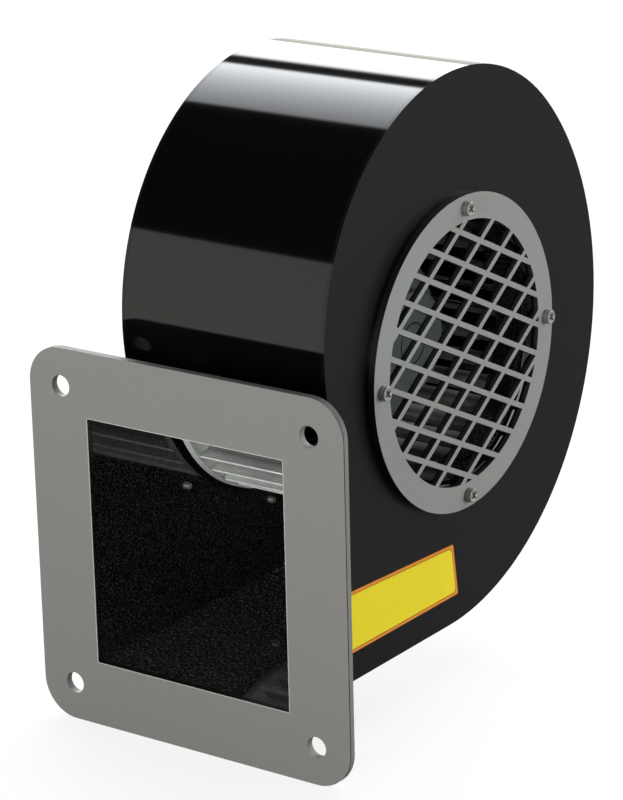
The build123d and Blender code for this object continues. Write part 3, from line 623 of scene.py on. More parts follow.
@dataclass(frozen=True)
class WheelSheet(Finish):
    """Galvanised sheet, with painted shade on the faces that look towards the motor axis.

    Attributes:
        shaded_inside_colour: painted shade on those faces.
        inward: outward parts of the normal at which a face starts to count as one, and does in full.
        shade_radii: radii between which the painted shade sets in and is full, in millimetres.
    """

    shaded_inside_colour: Colour = (20, 20, 20)
    inward: Pair = (-0.1, -0.4)
    shade_radii: Pair = (86.5, 79.0)

    def zones(self, shades: ShaderTree, surface: Surface) -> None:
        """Paints shade on the faces that look towards the axis.

        Args:
            shades: the material's nodes.
            surface: the surface to change.
        """
        radius = shades.radius()
        inward = shades.ramp(shades.maths("DIVIDE", shades.outward(AXIS), radius), *self.inward)
        # Painted shade: faces that look towards the axis, inside the wheel, are darkened.
        inside = shades.times(inward, shades.ramp(radius, self.shade_radii[0] * MM, self.shade_radii[1] * MM))
        surface.colour = shades.blend(inside, surface.colour, linear(self.shaded_inside_colour))


@dataclass(frozen=True)
class PlatedSteel(Finish):
    """Zinc-plated steel, with painted shade on the sides of heads and nuts.

    Attributes:
        shaded_side_colour: painted shade on faces square to the motor axis.
    """

    shaded_side_colour: Colour = (98, 99, 97)

    def zones(self, shades: ShaderTree, surface: Surface) -> None:
        """Paints shade on the sides."""
        # Painted shade: faces square to the axis are darker.
        side = shades.below(shades.absolute(shades.normal[0]), FACING)
        surface.colour = shades.blend(side, surface.colour, linear(self.shaded_side_colour))


@dataclass(frozen=True)
class CutSheet(Finish):
    """Painted sheet whose cut edges carry painted shade, dark near the front, and black painted shadow near
    the back and round the rim.

    Attributes:
        edge_colour: painted shade on the cut edges of the bars, near the front.
        back_shadow_colour: painted shadow on the cut edges near the back.
        front: place of the sheet's front face along the axis, in millimetres.
        cover: how deep behind the front the lighter edge shade reaches, in millimetres.
        rim: radius past which the edge is the outer rim, black painted shadow all through, in millimetres.
    """

    edge_colour: Colour = (42, 44, 45)
    back_shadow_colour: Colour = (7, 7, 7)
    front: float = 66.65
    cover: float = 2.5
    rim: float = 78.0

    def zones(self, shades: ShaderTree, surface: Surface) -> None:
        """Paints shade and shadow on the cut edges.

        Args:
            shades: the material's nodes.
            surface: the surface to change.
        """
        cut = shades.below(shades.absolute(shades.normal[0]), FACING)
        # Painted shade on the cut edges, with painted shadow near the back and round the outer rim.
        deep = shades.below(shades.point[0], (self.front - self.cover) * MM)
        deep = shades.larger(deep, shades.above(shades.radius(), self.rim * MM))
        edges = shades.blend(deep, linear(self.edge_colour), linear(self.back_shadow_colour))
        surface.colour = shades.blend(cut, surface.colour, edges)


@dataclass(frozen=True)
class LabelFoil:
    """Printed foil of a bare plate: a yellow field, a thin dark line with round corners, an orange edge.

    Attributes:
        corners: the plate's four corners, along Y and up Z in millimetres, anticlockwise from the
            upper left one as seen from outside.
        border: width of the orange border, in millimetres.
        border_corner: radius of its inner corners, in millimetres.
        line: half width of the dark line, in millimetres.
        field_colours: the field, fresh and worn.
        border_colours: the border, fresh and worn.
        line_colour: the line.
        roughness: roughness, fresh and worn.
        patch: size of a worn patch, in millimetres.
        grain: size of the foil's grain, in millimetres.
        relief: depth of the grain, in millimetres.
        specular: specular level.
    """

    corners: tuple[Pair, ...] = ((24.0, -17.2), (24.0, -50.8), (146.0, -51.0), (141.9, -22.8))
    border: float = 1.7
    border_corner: float = 2.8
    line: float = 0.16
    field_colours: tuple[Colour, Colour] = ((246, 226, 40), (250, 232, 54))
    border_colours: tuple[Colour, Colour] = ((232, 138, 46), (240, 152, 62))
    line_colour: Colour = (96, 84, 30)
    roughness: Pair = (0.28, 0.36)
    patch: float = 14.0
    grain: float = 1.5
    relief: float = 0.002
    specular: float = 0.3

    def middle(self) -> Pair:
        """Middle of the plate, which its UV map counts from."""
        return tuple(sum(place) / len(self.corners) for place in zip(*self.corners))

    def edge_distance(self, shades: ShaderTree, place: Sequence[Socket], index: int) -> Socket:
        """How far inside one edge of the plate a point lies.

        Args:
            shades: the foil's nodes.
            place: the point's place on the plate's UV map, along and up.
            index: which edge, counted from the left one anticlockwise.

        Returns:
            The distance, in millimetres.
        """
        middle = self.middle()
        start, end = self.corners[index], self.corners[(index + 1) % len(self.corners)]
        along, rise = end[0] - start[0], end[1] - start[1]
        length = hypot(along, rise)
        offset = ((middle[1] - start[1]) * along - (middle[0] - start[0]) * rise) / length
        turned = shades.less(shades.times(place[1], along / length), shades.times(place[0], rise / length))
        return shades.maths("ADD", turned, offset)

    def material(self) -> bpy.types.Material:
        """Builds the material.

        Returns:
            A material that reads the plate's own UV map, in millimetres from its middle.
        """
        shades = ShaderTree("label_foil")
        place = shades.split(shades.node("ShaderNodeUVMap", uv_map="millimetres").outputs[0])
        left, low, right, high = [self.edge_distance(shades, place, index) for index in range(4)]
        beyond = [
            shades.larger(shades.less(self.border + self.border_corner, shades.maths("MINIMUM", *sides)), 0.0)
            for sides in ((left, right), (low, high))
        ]
        distance = shades.less(shades.distance(*beyond), self.border_corner)
        worn = shades.noise(self.patch, 4.0)
        inner, outer = [
            shades.blend(worn, linear(fresh), linear(old))
            for fresh, old in (self.field_colours, self.border_colours)
        ]
        colour = shades.blend(shades.above(distance, 0.0), inner, outer)
        on_line = shades.below(shades.absolute(distance), self.line)
        colour = shades.blend(on_line, colour, linear(self.line_colour))
        roughness = shades.between(worn, *self.roughness)
        surface = Surface(colour, roughness, shades.noise(self.grain), self.relief)
        return shades.finish(surface, metallic=0.0, specular=self.specular)


GLOSS_BLACK = ScrollPaint("gloss_black", (7, 7, 7), 0.07, Grain.ORANGE_PEEL, 1.6, relief=0.0012, mottle=0.05)
SATIN_BLACK = ScrollPaint(
    "satin_black", (15, 15, 15), 0.08, Grain.POWDER, 0.5, relief=0.0012, mottle=0.05, specular=0.4,
    face_roughness=0.34,
)
FLANGE_GREY = FlangePaint(
    "flange_grey", (133, 132, 129), 0.45, Grain.POWDER, 0.4, relief=0.004, mottle=0.02, specular=0.3
)
GUARD_GREY = CutSheet(
    "guard_grey", (144, 147, 144), 0.45, Grain.POWDER, 0.4, relief=0.004, mottle=0.02, specular=0.3
)
ZINC_STEEL = PlatedSteel("zinc_steel", (152, 153, 149), 0.42, Grain.TURNED, 0.25, relief=0.003, metallic=0.35)
GALVANISED = WheelSheet(
    "galvanised", (236, 239, 236), 0.3, Grain.SPANGLE, 5.0, relief=0.004, mottle=0.05, metallic=0.25
)
ROTOR_GREY = TurnedWithSeam(
    "rotor_grey", (98, 105, 104), 0.38, Grain.TURNED, 0.8, relief=0.003, mottle=0.05, metallic=0.3
)
HUB_STEEL = TurnedWithSeam("hub_steel", (97, 104, 104), 0.38, Grain.TURNED, 0.5, relief=0.003, metallic=0.3)
LAMINATION = Finish(
    "lamination", (96, 98, 102), 0.45, Grain.STACKED, 0.5, relief=0.02, mottle=0.12, metallic=0.9
)
CAST_ALUMINIUM = Finish("cast_aluminium", (168, 170, 172), 0.5, Grain.CAST, 1.2, relief=0.03, metallic=0.9)
BEARING_STEEL = Finish("bearing_steel", (176, 178, 180), 0.16, Grain.TURNED, 0.3, relief=0.001, metallic=1.0)
COPPER_WIRE = Finish(
    "copper_wire", (176, 92, 48), 0.3, Grain.DRAWN, 0.7, relief=0.08, mottle=0.2, metallic=0.9
)
BLACK_PLASTIC = Finish("black_plastic", (32, 32, 33), 0.5, Grain.MOULDED, 0.35, relief=0.01, mottle=0.08)
GREY_PLASTIC = Finish("grey_plastic", (120, 122, 124), 0.45, Grain.MOULDED, 0.35, relief=0.008)
WHITE_PLASTIC = Finish("white_plastic", (216, 214, 206), 0.4, Grain.MOULDED, 0.35, relief=0.006, mottle=0.03)
RUBBER = Finish("rubber", (24, 24, 25), 0.78, Grain.MOULDED, 0.5, relief=0.015, mottle=0.1)


class PaintShop:
    """Makes each finish once and hands it out."""

    def __init__(self) -> None:
        """Starts with no material made."""
        self.materials: dict[str, bpy.types.Material] = {}

    def material(self, finish: Finish) -> bpy.types.Material:
        """A finish's material, made when it is first asked for.

        Args:
            finish: the finish.

        Returns:
            Its material.
        """
        if finish.slot not in self.materials:
            self.materials[finish.slot] = finish.material()
        return self.materials[finish.slot]

    def dress(self, node: str, finish: Finish) -> None:
        """Gives a CAD node its finish through its object's own slots.

        Args:
            node: the node's name.
            finish: its finish.
        """
        for place in frame["nodes"][node].material_slots:
            place.link = "OBJECT"
            place.material = self.material(finish)
        log.info("%s: %s", node, finish.slot)


def stand(name: str, data: bpy.types.ID) -> bpy.types.Object:
    """New object in the scene, at the origin.

    Args:
        name: the object's name.
        data: its mesh, lamp or camera.

    Returns:
        The object.
    """
    made = bpy.data.objects.new(name, data)
    bpy.context.scene.collection.objects.link(made)
    return made


def plain_mesh(name: str, source: bpy.types.Object) -> bpy.types.Mesh:
    """Mesh of an object with its modifiers applied.

    Args:
        name: the mesh's name.
        source: the object, which is removed.

    Returns:
        The mesh.
    """
    depsgraph = bpy.context.evaluated_depsgraph_get()
    mesh = bpy.data.meshes.new_from_object(source.evaluated_get(depsgraph))
    mesh.name = name
    bpy.data.objects.remove(source)
    return mesh


def ride(piece: bpy.types.Object, body: str) -> None:
    """Puts a finished piece on its body.

    Args:
        piece: the object.
        body: the CAD body that it moves with.
    """
    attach(piece, body)
    log.info("%s: %d faces on %s", piece.name, len(piece.data.polygons), body)


def lathe(profile: Sequence[Pair], steps: int) -> bmesh.types.BMesh:
    """Closed solid of revolution about Z.

    Args:
        profile: (radius, height) pairs from the axis at the bottom to the axis at the top.
        steps: segments round the axis.

    Returns:
        The shape, with its poles closed and its faces outwards.
    """
    shape = bmesh.new()
    rings: list[list[bmesh.types.BMVert]] = []
    for radius, height in profile:
        turns = [2 * pi * step / steps for step in range(steps if radius else 1)]
        rings.append([shape.verts.new((radius * cos(turn), radius * sin(turn), height)) for turn in turns])
    for lower, upper in zip(rings, rings[1:]):
        for i in range(steps):
            j = (i + 1) % steps
            corners = [ring[k % len(ring)] for ring, k in ((lower, i), (lower, j), (upper, j), (upper, i))]
            shape.faces.new(list(dict.fromkeys(corners)))
    bmesh.ops.recalc_face_normals(shape, faces=shape.faces)
    return shape


def as_mesh(name: str, shape: bmesh.types.BMesh, smooth: float = 35.0) -> bpy.types.Mesh:
    """Mesh from a bmesh, smooth except across sharp edges.

    Args:
        name: the mesh's name.
        shape: the shape, which is freed.
        smooth: largest angle that stays smooth, in degrees.

    Returns:
        The mesh.
    """
    for edge in shape.edges:
        edge.smooth = len(edge.link_faces) == 2 and edge.calc_face_angle() < radians(smooth)
    for face in shape.faces:
        face.smooth = True
    mesh = bpy.data.meshes.new(name)
    shape.to_mesh(mesh)
    shape.free()
    return mesh


class GeometryTree(NodeSteps):
    """A geometry node group whose sizes are named inputs."""

    def __init__(self, name: str) -> None:
        """Starts an empty group.

        Args:
            name: the group's name.
        """
        super().__init__(bpy.data.node_groups.new(name, "GeometryNodeTree"))
        self.tree.interface.new_socket("Geometry", in_out="OUTPUT", socket_type="NodeSocketGeometry")
        self.entry = self.node("NodeGroupInput")
        self.exit = self.node("NodeGroupOutput")
        self.values: dict[str, object] = {}

    def size(self, name: str, kind: str, value: object) -> Socket:
        """A named input and its value.

        Args:
            name: the input's name.
            kind: socket type, such as NodeSocketFloat.
            value: what the modifier sets it to.

        Returns:
            The input's socket inside the group.
        """
        made = self.tree.interface.new_socket(name, in_out="INPUT", socket_type=kind)
        self.values[made.identifier] = value
        return self.entry.outputs[name]

    def piece(self, name: str, result: Socket, material: bpy.types.Material) -> bpy.types.Object:
        """Realizes the group's result as a plain mesh object.

        Args:
            name: the object's name.
            result: the geometry to keep.
            material: its finish.

        Returns:
            The object, with no modifier on it.
        """
        paint = self.size("Finish", "NodeSocketMaterial", material)
        real = self.node("GeometryNodeRealizeInstances", {"Geometry": result})
        done = self.node("GeometryNodeSetMaterial", {"Geometry": real.outputs[0], "Material": paint})
        self.link(done.outputs[0], self.exit.inputs[0])
        carrier = stand(name + "_source", bpy.data.meshes.new(name + "_source"))
        modifier = carrier.modifiers.new("build", "NODES")
        modifier.node_group = self.tree
        for identifier, value in self.values.items():
            modifier[identifier] = value
        return stand(name, plain_mesh(name, carrier))


@dataclass(frozen=True)
class RingOfCopies:
    """Copies of one template, spread evenly on a circle round a line along X.

    Attributes:
        name: name of the finished piece.
        count: how many copies.
        radius: the circle's radius.
        facing: 1 where +Z of the template looks along +X, -1 along -X.
        tilt: turn of each copy about its own +Z, in degrees.
    """

    name: str
    count: int
    radius: float
    facing: int
    tilt: float

    def build(self, template: bpy.types.Mesh, x: float, material: bpy.types.Material) -> bpy.types.Object:
        """Makes the ring with Geometry Nodes, round the motor axis.

        Args:
            template: mesh whose +Z is the circle's axis and whose +X points outwards.
            x: place of the circle along X.
            material: the copies' finish.

        Returns:
            One mesh object with all the copies.
        """
        pattern = stand(self.name + "_template", template)
        tree = GeometryTree(self.name)
        count = tree.size("Count", "NodeSocketInt", self.count)
        radius = tree.size("Radius", "NodeSocketFloat", self.radius)
        shape = tree.size("Template", "NodeSocketObject", pattern)
        turn = tree.size("Turn", "NodeSocketFloat", radians(self.tilt))
        circle = tree.node("GeometryNodeMeshCircle", {"Vertices": count, "Radius": radius})
        points = tree.node("GeometryNodeMeshToPoints", {"Mesh": circle.outputs[0]})
        place = tree.node("GeometryNodeInputPosition").outputs[0]
        outward = tree.node("FunctionNodeAlignRotationToVector", {"Vector": place}, axis="X", pivot_axis="Z")
        copy = tree.node("GeometryNodeObjectInfo", {"Object": shape}).outputs["Geometry"]
        copies = tree.node(
            "GeometryNodeInstanceOnPoints",
            {"Points": points.outputs[0], "Instance": copy, "Rotation": outward.outputs[0]},
        )
        spin = tree.node("ShaderNodeCombineXYZ", {"Z": turn}).outputs[0]
        tilted = tree.node("GeometryNodeRotateInstances", {"Instances": copies.outputs[0], "Rotation": spin})
        raised = tree.node("GeometryNodeTransform", {
            "Geometry": tilted.outputs[0],
            "Rotation": Euler((0, radians(90) * self.facing, 0)),
            "Translation": (x, *AXIS),
        })
        made = tree.piece(self.name, raised.outputs[0], material)
        bpy.data.objects.remove(pattern)
        return made


@dataclass(frozen=True)
class CheeseScrew:
    """Cheese-head machine screw with a cross recess, drawn along +Z.

    Attributes:
        length: length under the head.
        head_radius: radius of the head.
        head_height: height of the head.
        groove: height of the groove round the head, as a share of the head's.
        groove_half: half the groove's width.
        groove_depth: its depth.
        step: how much narrower the head is above the groove.
        rounding: rounding of the head's upper edge.
        shank_radius: radius of the thread.
        tip: radius of the thread's tip, as a share of the thread's.
        arm: length of the cross recess, across the head.
        slot: width of the recess.
        depth: depth of the recess.
        steps: segments round the axis.
    """

    length: float
    head_radius: float = 3.7 * MM
    head_height: float = 3.8 * MM
    groove: float = 0.55
    groove_half: float = 0.12 * MM
    groove_depth: float = 0.15 * MM
    step: float = 0.05 * MM
    rounding: float = 0.3 * MM
    shank_radius: float = 1.95 * MM
    tip: float = 0.75
    arm: float = 4.3 * MM
    slot: float = 1.2 * MM
    depth: float = 2.3 * MM
    steps: int = 40

    def profile(self) -> list[Pair]:
        """Half section of the screw, from the tip of the shank to the top of the head.

        Returns:
            (radius, height) pairs.
        """
        tip = self.shank_radius * self.tip
        groove = self.groove * self.head_height
        upper = self.head_radius - self.step
        return [
            (0, -self.length),
            (tip, -self.length),
            (self.shank_radius, -self.length + tip),
            (self.shank_radius, 0),
            (self.head_radius, 0),
            (self.head_radius, groove - self.groove_half),
            (self.head_radius - self.groove_depth, groove),
            (upper, groove + self.groove_half),
            (upper, self.head_height - self.rounding),
            (upper - self.rounding, self.head_height),
            (0, self.head_height),
        ]

    def mesh(self, name: str) -> bpy.types.Mesh:
        """Builds the screw and cuts its recess.

        Args:
            name: the mesh's name.

        Returns:
            The screw's mesh.
        """
        blank = stand(name + "_blank", as_mesh(name + "_blank", lathe(self.profile(), self.steps)))
        cross = bmesh.new()
        for length, width in ((self.arm, self.slot), (self.slot, self.arm)):
            size = Matrix.Diagonal((length, width, 2 * self.depth, 1))
            bmesh.ops.create_cube(cross, size=1, matrix=Matrix.Translation((0, 0, self.head_height)) @ size)
        cutter = stand(name + "_cross", as_mesh(name + "_cross", cross))
        cut = blank.modifiers.new("recess", "BOOLEAN")
        cut.operation = "DIFFERENCE"
        cut.solver = "EXACT"
        cut.use_self = True
        cut.object = cutter
        mesh = plain_mesh(name, blank)
        bpy.data.objects.remove(cutter)
        return mesh


@dataclass
class SubAssembly:
    """Part of the blower that is dressed together.

    Attributes:
        shop: the materials.
        finishes: the CAD nodes that each finish goes on.
    """

    shop: PaintShop
    finishes: ClassVar[dict[Finish, list[str]]]

    def build(self) -> None:
        """Dresses the CAD nodes and adds the scene's own pieces."""
        self.dress()
        self.add_pieces()

    def dress(self) -> None:
        """Gives each CAD node its finish."""
        for finish, nodes in self.finishes.items():
            for node in nodes:
                self.shop.dress(node, finish)

    def add_pieces(self) -> None:
        """Adds the pieces that the CAD leaves out."""

    def stand_screws(self, ring: RingOfCopies, node: str, plate: str) -> None:
        """Stands finer screws for the plain ones of a CAD node, as long and in the same place.

        Args:
            ring: how the screws are spread.
            node: the CAD node that they stand for.
            plate: the CAD node whose outer face the heads rest on.
        """
        outer, inner = (1, 0) if ring.facing > 0 else (0, 1)
        face_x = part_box(plate)[outer][0]
        screw = CheeseScrew(length=abs(face_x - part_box(node)[inner][0]))
        made = ring.build(screw.mesh(ring.name + "_screw"), face_x, self.shop.material(ZINC_STEEL))
        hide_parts(node)
        ride(made, "housing")


@dataclass
class Housing(SubAssembly):
    """Sheet-metal scroll with its flange and its two cheeks.

    Attributes:
        foil: outline and print of the bare label plate.
        plate_thickness: thickness of the plate.
        plate_corner: how far its corners are broken.
    """

    foil: LabelFoil = LabelFoil()
    plate_thickness: float = 0.25 * MM
    plate_corner: float = 0.5 * MM

    finishes: ClassVar[dict[Finish, list[str]]] = {
        GLOSS_BLACK: ["scroll_wrap"],
        SATIN_BLACK: ["inlet_side_plate", "motor_side_plate"],
        FLANGE_GREY: ["discharge_flange"],
    }

    def add_pieces(self) -> None:
        """Lays the bare foil plate on the inlet cheek, with its corners a little rounded."""
        face_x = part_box("inlet_side_plate")[1][0]
        middle_y, middle_z = self.foil.middle()
        shape = bmesh.new()
        lower = [shape.verts.new((face_x, y * MM, z * MM)) for y, z in self.foil.corners]
        raised = bmesh.ops.extrude_face_region(shape, geom=[shape.faces.new(lower)])
        moved = [item for item in raised["geom"] if isinstance(item, bmesh.types.BMVert)]
        bmesh.ops.translate(shape, vec=(self.plate_thickness, 0, 0), verts=moved)
        bmesh.ops.recalc_face_normals(shape, faces=shape.faces)
        layer = shape.loops.layers.uv.new("millimetres")
        for face in shape.faces:
            for loop in face.loops:
                loop[layer].uv = (loop.vert.co.y / MM - middle_y, loop.vert.co.z / MM - middle_z)
        upright = [edge for edge in shape.edges if len({vert in moved for vert in edge.verts}) == 2]
        bmesh.ops.bevel(shape, geom=upright, offset=self.plate_corner, segments=4, affect="EDGES")
        mesh = as_mesh("label_plate", shape, 30)
        mesh.materials.append(self.foil.material())
        ride(stand("label_plate", mesh), "housing")


@dataclass
class Inlet(SubAssembly):
    """Spun inlet, its guard and the four screws that hold it.

    Attributes:
        screws: how the guard's screws are spread.
    """

    screws: RingOfCopies = RingOfCopies("guard_screw_set", 4, 75.4 * MM, facing=1, tilt=30)

    finishes: ClassVar[dict[Finish, list[str]]] = {
        GLOSS_BLACK: ["inlet_cone"],
        GUARD_GREY: ["inlet_guard"],
        ZINC_STEEL: ["guard_nuts"],
    }

    def add_pieces(self) -> None:
        """Adds the guard's screws."""
        self.stand_screws(self.screws, "guard_screws", "inlet_guard")


@dataclass
class Wheel(SubAssembly):
    """Forward-curved wheel with its rotor, and the tabs that hold the blades.

    Attributes:
        front_tabs: how the blades' tabs come through the front ring.
        back_tabs: how they come through the back plate.
        tab_length: length of a tab along the blade.
        tab_width: width of a bent tab.
        tab_rise: how far a bent tab stands off its ring.
        tab_rounding: rounding of its edges, as a share of the rise.
    """

    front_tabs: RingOfCopies = RingOfCopies("front_tabs", 40, 80.0 * MM, facing=1, tilt=20)
    back_tabs: RingOfCopies = RingOfCopies("back_tabs", 40, 80.0 * MM, facing=-1, tilt=20)
    tab_length: float = 6.0 * MM
    tab_width: float = 1.8 * MM
    tab_rise: float = 0.6 * MM
    tab_rounding: float = 0.6

    finishes: ClassVar[dict[Finish, list[str]]] = {
        GALVANISED: ["wheel_blades", "wheel_backplate", "wheel_front_ring"],
        ZINC_STEEL: ["wheel_rivets", "shaft_circlip"],
        ROTOR_GREY: ["rotor_can"],
        HUB_STEEL: ["rotor_hub"],
        LAMINATION: ["rotor_core"],
        CAST_ALUMINIUM: ["rotor_cage_rings"],
        BEARING_STEEL: ["motor_shaft", "bearing_inner_races"],
    }

    def tab_mesh(self) -> bpy.types.Mesh:
        """One bent-over tab, a low cushion of sheet lying on its ring.

        Returns:
            The tab, with its middle on the ring's face.
        """
        shape = bmesh.new()
        size = Matrix.Diagonal((self.tab_length, self.tab_width, 2 * self.tab_rise, 1))
        bmesh.ops.create_cube(shape, size=1, matrix=size)
        rounding = self.tab_rise * self.tab_rounding
        bmesh.ops.bevel(shape, geom=list(shape.edges), offset=rounding, segments=2, affect="EDGES")
        return as_mesh("blade_tab", shape, 60)

    def add_pieces(self) -> None:
        """Adds the rings of tabs on the wheel's front ring and on its back plate."""
        front_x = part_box("wheel_front_ring")[1][0]
        back_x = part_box("wheel_backplate")[0][0]
        for ring, x in ((self.front_tabs, front_x), (self.back_tabs, back_x)):
            ride(ring.build(self.tab_mesh(), x, self.shop.material(GALVANISED)), "rotor")


@dataclass
class Motor(SubAssembly):
    """Fixed parts of the motor, its plate and its terminal box.

    Attributes:
        screws: how the motor plate's screws are spread.
    """

    screws: RingOfCopies = RingOfCopies("motor_screw_set", 8, 101.8 * MM, facing=-1, tilt=12)

    finishes: ClassVar[dict[Finish, list[str]]] = {
        SATIN_BLACK: ["motor_plate"],
        ZINC_STEEL: [
            "motor_plate_screws", "stator_bolts", "preload_washer", "lid_screws", "box_screws",
            "capacitor_clip",
        ],
        CAST_ALUMINIUM: ["stator_flange"],
        LAMINATION: ["stator_core"],
        COPPER_WIRE: ["stator_winding"],
        BEARING_STEEL: ["bearing_outer_races", "bearing_balls"],
        BLACK_PLASTIC: ["shaft_cap", "terminal_box", "terminal_box_lid"],
        WHITE_PLASTIC: ["run_capacitor", "terminal_block"],
        GREY_PLASTIC: ["gland_body", "gland_locknut", "gland_nut"],
        RUBBER: ["gland_seal"],
    }

    def add_pieces(self) -> None:
        """Adds the motor plate's screws."""
        self.stand_screws(self.screws, "motor_plate_screws", "motor_plate")


@dataclass(frozen=True)
class SoftBox:
    """One long overhead light, given by the directions that it fills round the X axis.

    Attributes:
        start: lower edge, in degrees from +Y towards +Z.
        end: upper edge.
        at_start: radiance along the lower edge.
        at_end: radiance along the upper edge.
        tint: colour.
    """

    start: float
    end: float
    at_start: float
    at_end: float
    tint: Colour = (1.0, 1.0, 1.0)


@dataclass(frozen=True)
class Lamp:
    """One square lamp aimed at the middle of the object.

    Attributes:
        name: the lamp's name.
        direction: from the object towards the lamp.
        distance: how far away it stands.
        size: its side.
        level: share of the plain level that it gives a surface facing it.
    """

    name: str
    direction: tuple[float, float, float]
    distance: float
    size: float
    level: float

    def build(self) -> None:
        """Stands the lamp."""
        middle = Vector([(low + high) / 2 for low, high in zip(*CAD_BOX)])
        towards = Vector(self.direction).normalized()
        data = bpy.data.lights.new(self.name, "AREA")
        data.shape = "SQUARE"
        data.size = self.size
        data.energy = self.level * pi * pi * self.distance ** 2
        lamp = stand(self.name, data)
        lamp.location = middle + towards * self.distance
        lamp.rotation_euler = towards.to_track_quat("Z", "Y").to_euler()
        lamp.visible_camera = False


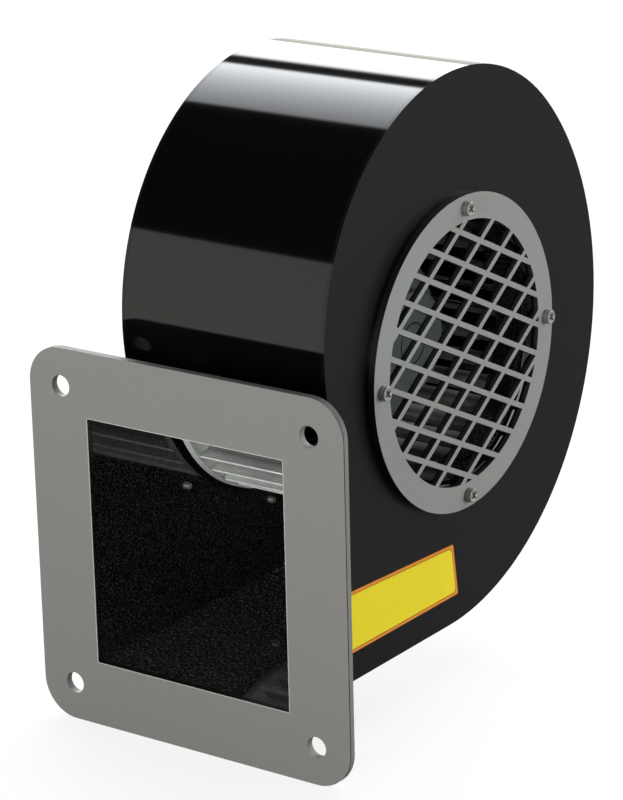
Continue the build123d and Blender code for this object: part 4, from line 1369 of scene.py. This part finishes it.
@dataclass
class Studio:
    """Camera, floor, lamps and surrounding light.

    Attributes:
        camera_place: the camera's place.
        camera_turn: its turn about X, Y and Z, in degrees.
        lens: focal length, in millimetres.
        sensor: sensor along the picture's longer side, in millimetres.
        nearest: distance at which the camera starts to see.
        floor_size: half the floor's side.
        floor_gap: gap between the floor and the flange's lower edge.
        floor_grey: the floor's own grey, for light that bounces and for the camera.
        floor_glow: share of the floor's white that its own glow gives the camera.
        dark_ground: radius within which the ground throws no light back.
        light_ground: place along X short of which the far ground throws light back.
        strength: radiance that the surroundings' colours are shares of.
        horizon: elevation up to which the surroundings are white, in degrees.
        horizon_tint: their warm tint.
        ceiling: radiance of the dark ceiling.
        boxes: the soft boxes.
        box_reach: directions that they fill along X, as cosines.
        box_edge: half the width of their soft edges, in degrees.
        lamps: the lamps.
    """

    camera_place: tuple[float, float, float] = (0.94029, -1.19178, 0.58117)
    camera_turn: tuple[float, float, float] = (71.805, 1.381, 35.459)
    lens: float = 149.99
    sensor: float = 36.0
    nearest: float = 0.01
    floor_size: float = 12.0
    floor_gap: float = 0.2 * MM
    floor_grey: Pair = (0.12, 0.9)
    floor_glow: float = 0.85
    dark_ground: float = 0.73
    light_ground: float = -0.1
    strength: float = 8.0
    horizon: float = 21.4
    horizon_tint: Colour = (1.0, 0.975, 0.91)
    ceiling: float = 0.004
    boxes: tuple[SoftBox, ...] = (
        SoftBox(7.0, 36.5, 5.0, 6.0),
        SoftBox(46.0, 79.5, 8.0, 3.0, (0.93, 0.965, 1.0)),
    )
    box_reach: Pair = (-0.95, 0.3)
    box_edge: float = 0.6
    lamps: tuple[Lamp, ...] = (
        Lamp("duct_lamp", (0.16, -0.97, 0.17), 1.8, 0.5, 0.57),
        Lamp("inlet_lamp", (0.97, 0.20, 0.15), 2.0, 1.2, 0.54),
    )

    def add_camera(self) -> None:
        """Stands the camera where the photograph was taken from."""
        data = bpy.data.cameras.new("photo_camera")
        data.lens = self.lens
        data.sensor_width = self.sensor
        data.sensor_height = self.sensor
        data.clip_start = self.nearest
        camera = stand("photo_camera", data)
        camera.location = self.camera_place
        camera.rotation_euler = Euler([radians(angle) for angle in self.camera_turn])
        bpy.context.scene.camera = camera

    def floor_material(self) -> bpy.types.Material:
        """White that keeps a shadow for the camera and throws light back only from the far left.

        Returns:
            The floor's material.
        """
        shades = ShaderTree("white_floor")
        shades.tree.nodes.remove(shades.shader)
        seen = shades.node("ShaderNodeLightPath").outputs["Is Camera Ray"]
        x, y, _ = shades.point
        far = shades.above(shades.distance(x, y), self.dark_ground)
        lit = shades.times(far, shades.below(x, self.light_ground))
        matt = shades.node("ShaderNodeBsdfDiffuse", {"Color": shades.between(seen, *self.floor_grey)})
        white = shades.blend(seen, (*self.horizon_tint, 1.0), WHITE)
        glow = shades.node("ShaderNodeEmission", {"Color": white})
        share = shades.between(seen, lit, self.floor_glow)
        mix = shades.node("ShaderNodeMixShader", {0: share, 1: matt.outputs[0], 2: glow.outputs[0]})
        shades.link(mix.outputs[0], shades.tree.nodes["Material Output"].inputs[0])
        return shades.material

    def add_floor(self) -> None:
        """Lays the floor under the flange."""
        shape = bmesh.new()
        bmesh.ops.create_grid(shape, x_segments=1, y_segments=1, size=self.floor_size)
        mesh = as_mesh("floor", shape)
        mesh.materials.append(self.floor_material())
        floor = stand("floor", mesh)
        floor.location = (0, 0, CAD_BOX[0][2] - self.floor_gap)

    def box_light(self, sky: NodeSteps, direction: Sequence[Socket]) -> Socket:
        """Light of the soft boxes, as a share of the strength.

        Args:
            sky: the world's nodes.
            direction: the three parts of the direction looked in.

        Returns:
            The light's colour.
        """
        angle = sky.maths("ARCTAN2", direction[2], direction[1])
        turn = sky.maths("ADD", sky.maths("DIVIDE", angle, 2 * pi), 0.5)
        ramp = sky.node("ShaderNodeValToRGB", {0: turn})
        stops = ramp.color_ramp.elements
        for stop, position in zip(stops, (0.0, 1.0)):
            stop.position = position
            stop.color = BLACK
        edge = self.box_edge / 360
        for box in self.boxes:
            start, end = [degrees / 360 + 0.5 for degrees in (box.start, box.end)]
            first, last = [
                (*[channel * radiance / self.strength for channel in box.tint], 1.0)
                for radiance in (box.at_start, box.at_end)
            ]
            places = {start - edge: BLACK, start + edge: first, end - edge: last, end + edge: BLACK}
            for position, colour in places.items():
                stops.new(position).color = colour
        return sky.blend(1.0, ramp.outputs[0], sky.within(direction[0], *self.box_reach), "MULTIPLY")

    def add_surroundings(self) -> None:
        """White horizon, dark ceiling and two soft boxes along X, behind and above the object."""
        world = bpy.data.worlds.new("studio")
        world.use_nodes = True
        sky = NodeSteps(world.node_tree)
        sky.tree.nodes.clear()
        direction = sky.split(sky.node("ShaderNodeTexCoord").outputs["Generated"])
        low = sky.below(direction[2], sin(radians(self.horizon)))
        ceiling = (*[self.ceiling / self.strength] * 3, 1.0)
        horizon = (*[channel / self.strength for channel in self.horizon_tint], 1.0)
        total = sky.blend(1.0, self.box_light(sky, direction), sky.blend(low, ceiling, horizon), "ADD")
        light = sky.node("ShaderNodeBackground", {"Strength": self.strength, "Color": total})
        white = sky.node("ShaderNodeBackground", {"Color": WHITE})
        seen = sky.node("ShaderNodeLightPath").outputs["Is Camera Ray"]
        mix = sky.node("ShaderNodeMixShader", {0: seen, 1: light.outputs[0], 2: white.outputs[0]})
        sky.node("ShaderNodeOutputWorld", {0: mix.outputs[0]})
        bpy.context.scene.world = world

    def build(self) -> None:
        """Sets up the whole studio."""
        self.add_camera()
        self.add_floor()
        self.add_surroundings()
        for lamp in self.lamps:
            lamp.build()
        bpy.context.scene.view_settings.view_transform = "Standard"


def main() -> None:
    """Dresses every sub-assembly, sets up the studio and reports each piece."""
    logging.basicConfig(level=logging.INFO, format="%(message)s")
    shop = PaintShop()
    for sub_assembly in (Housing(shop), Inlet(shop), Wheel(shop), Motor(shop)):
        sub_assembly.build()
    Studio().build()


if __name__ == "__main__":
    main()
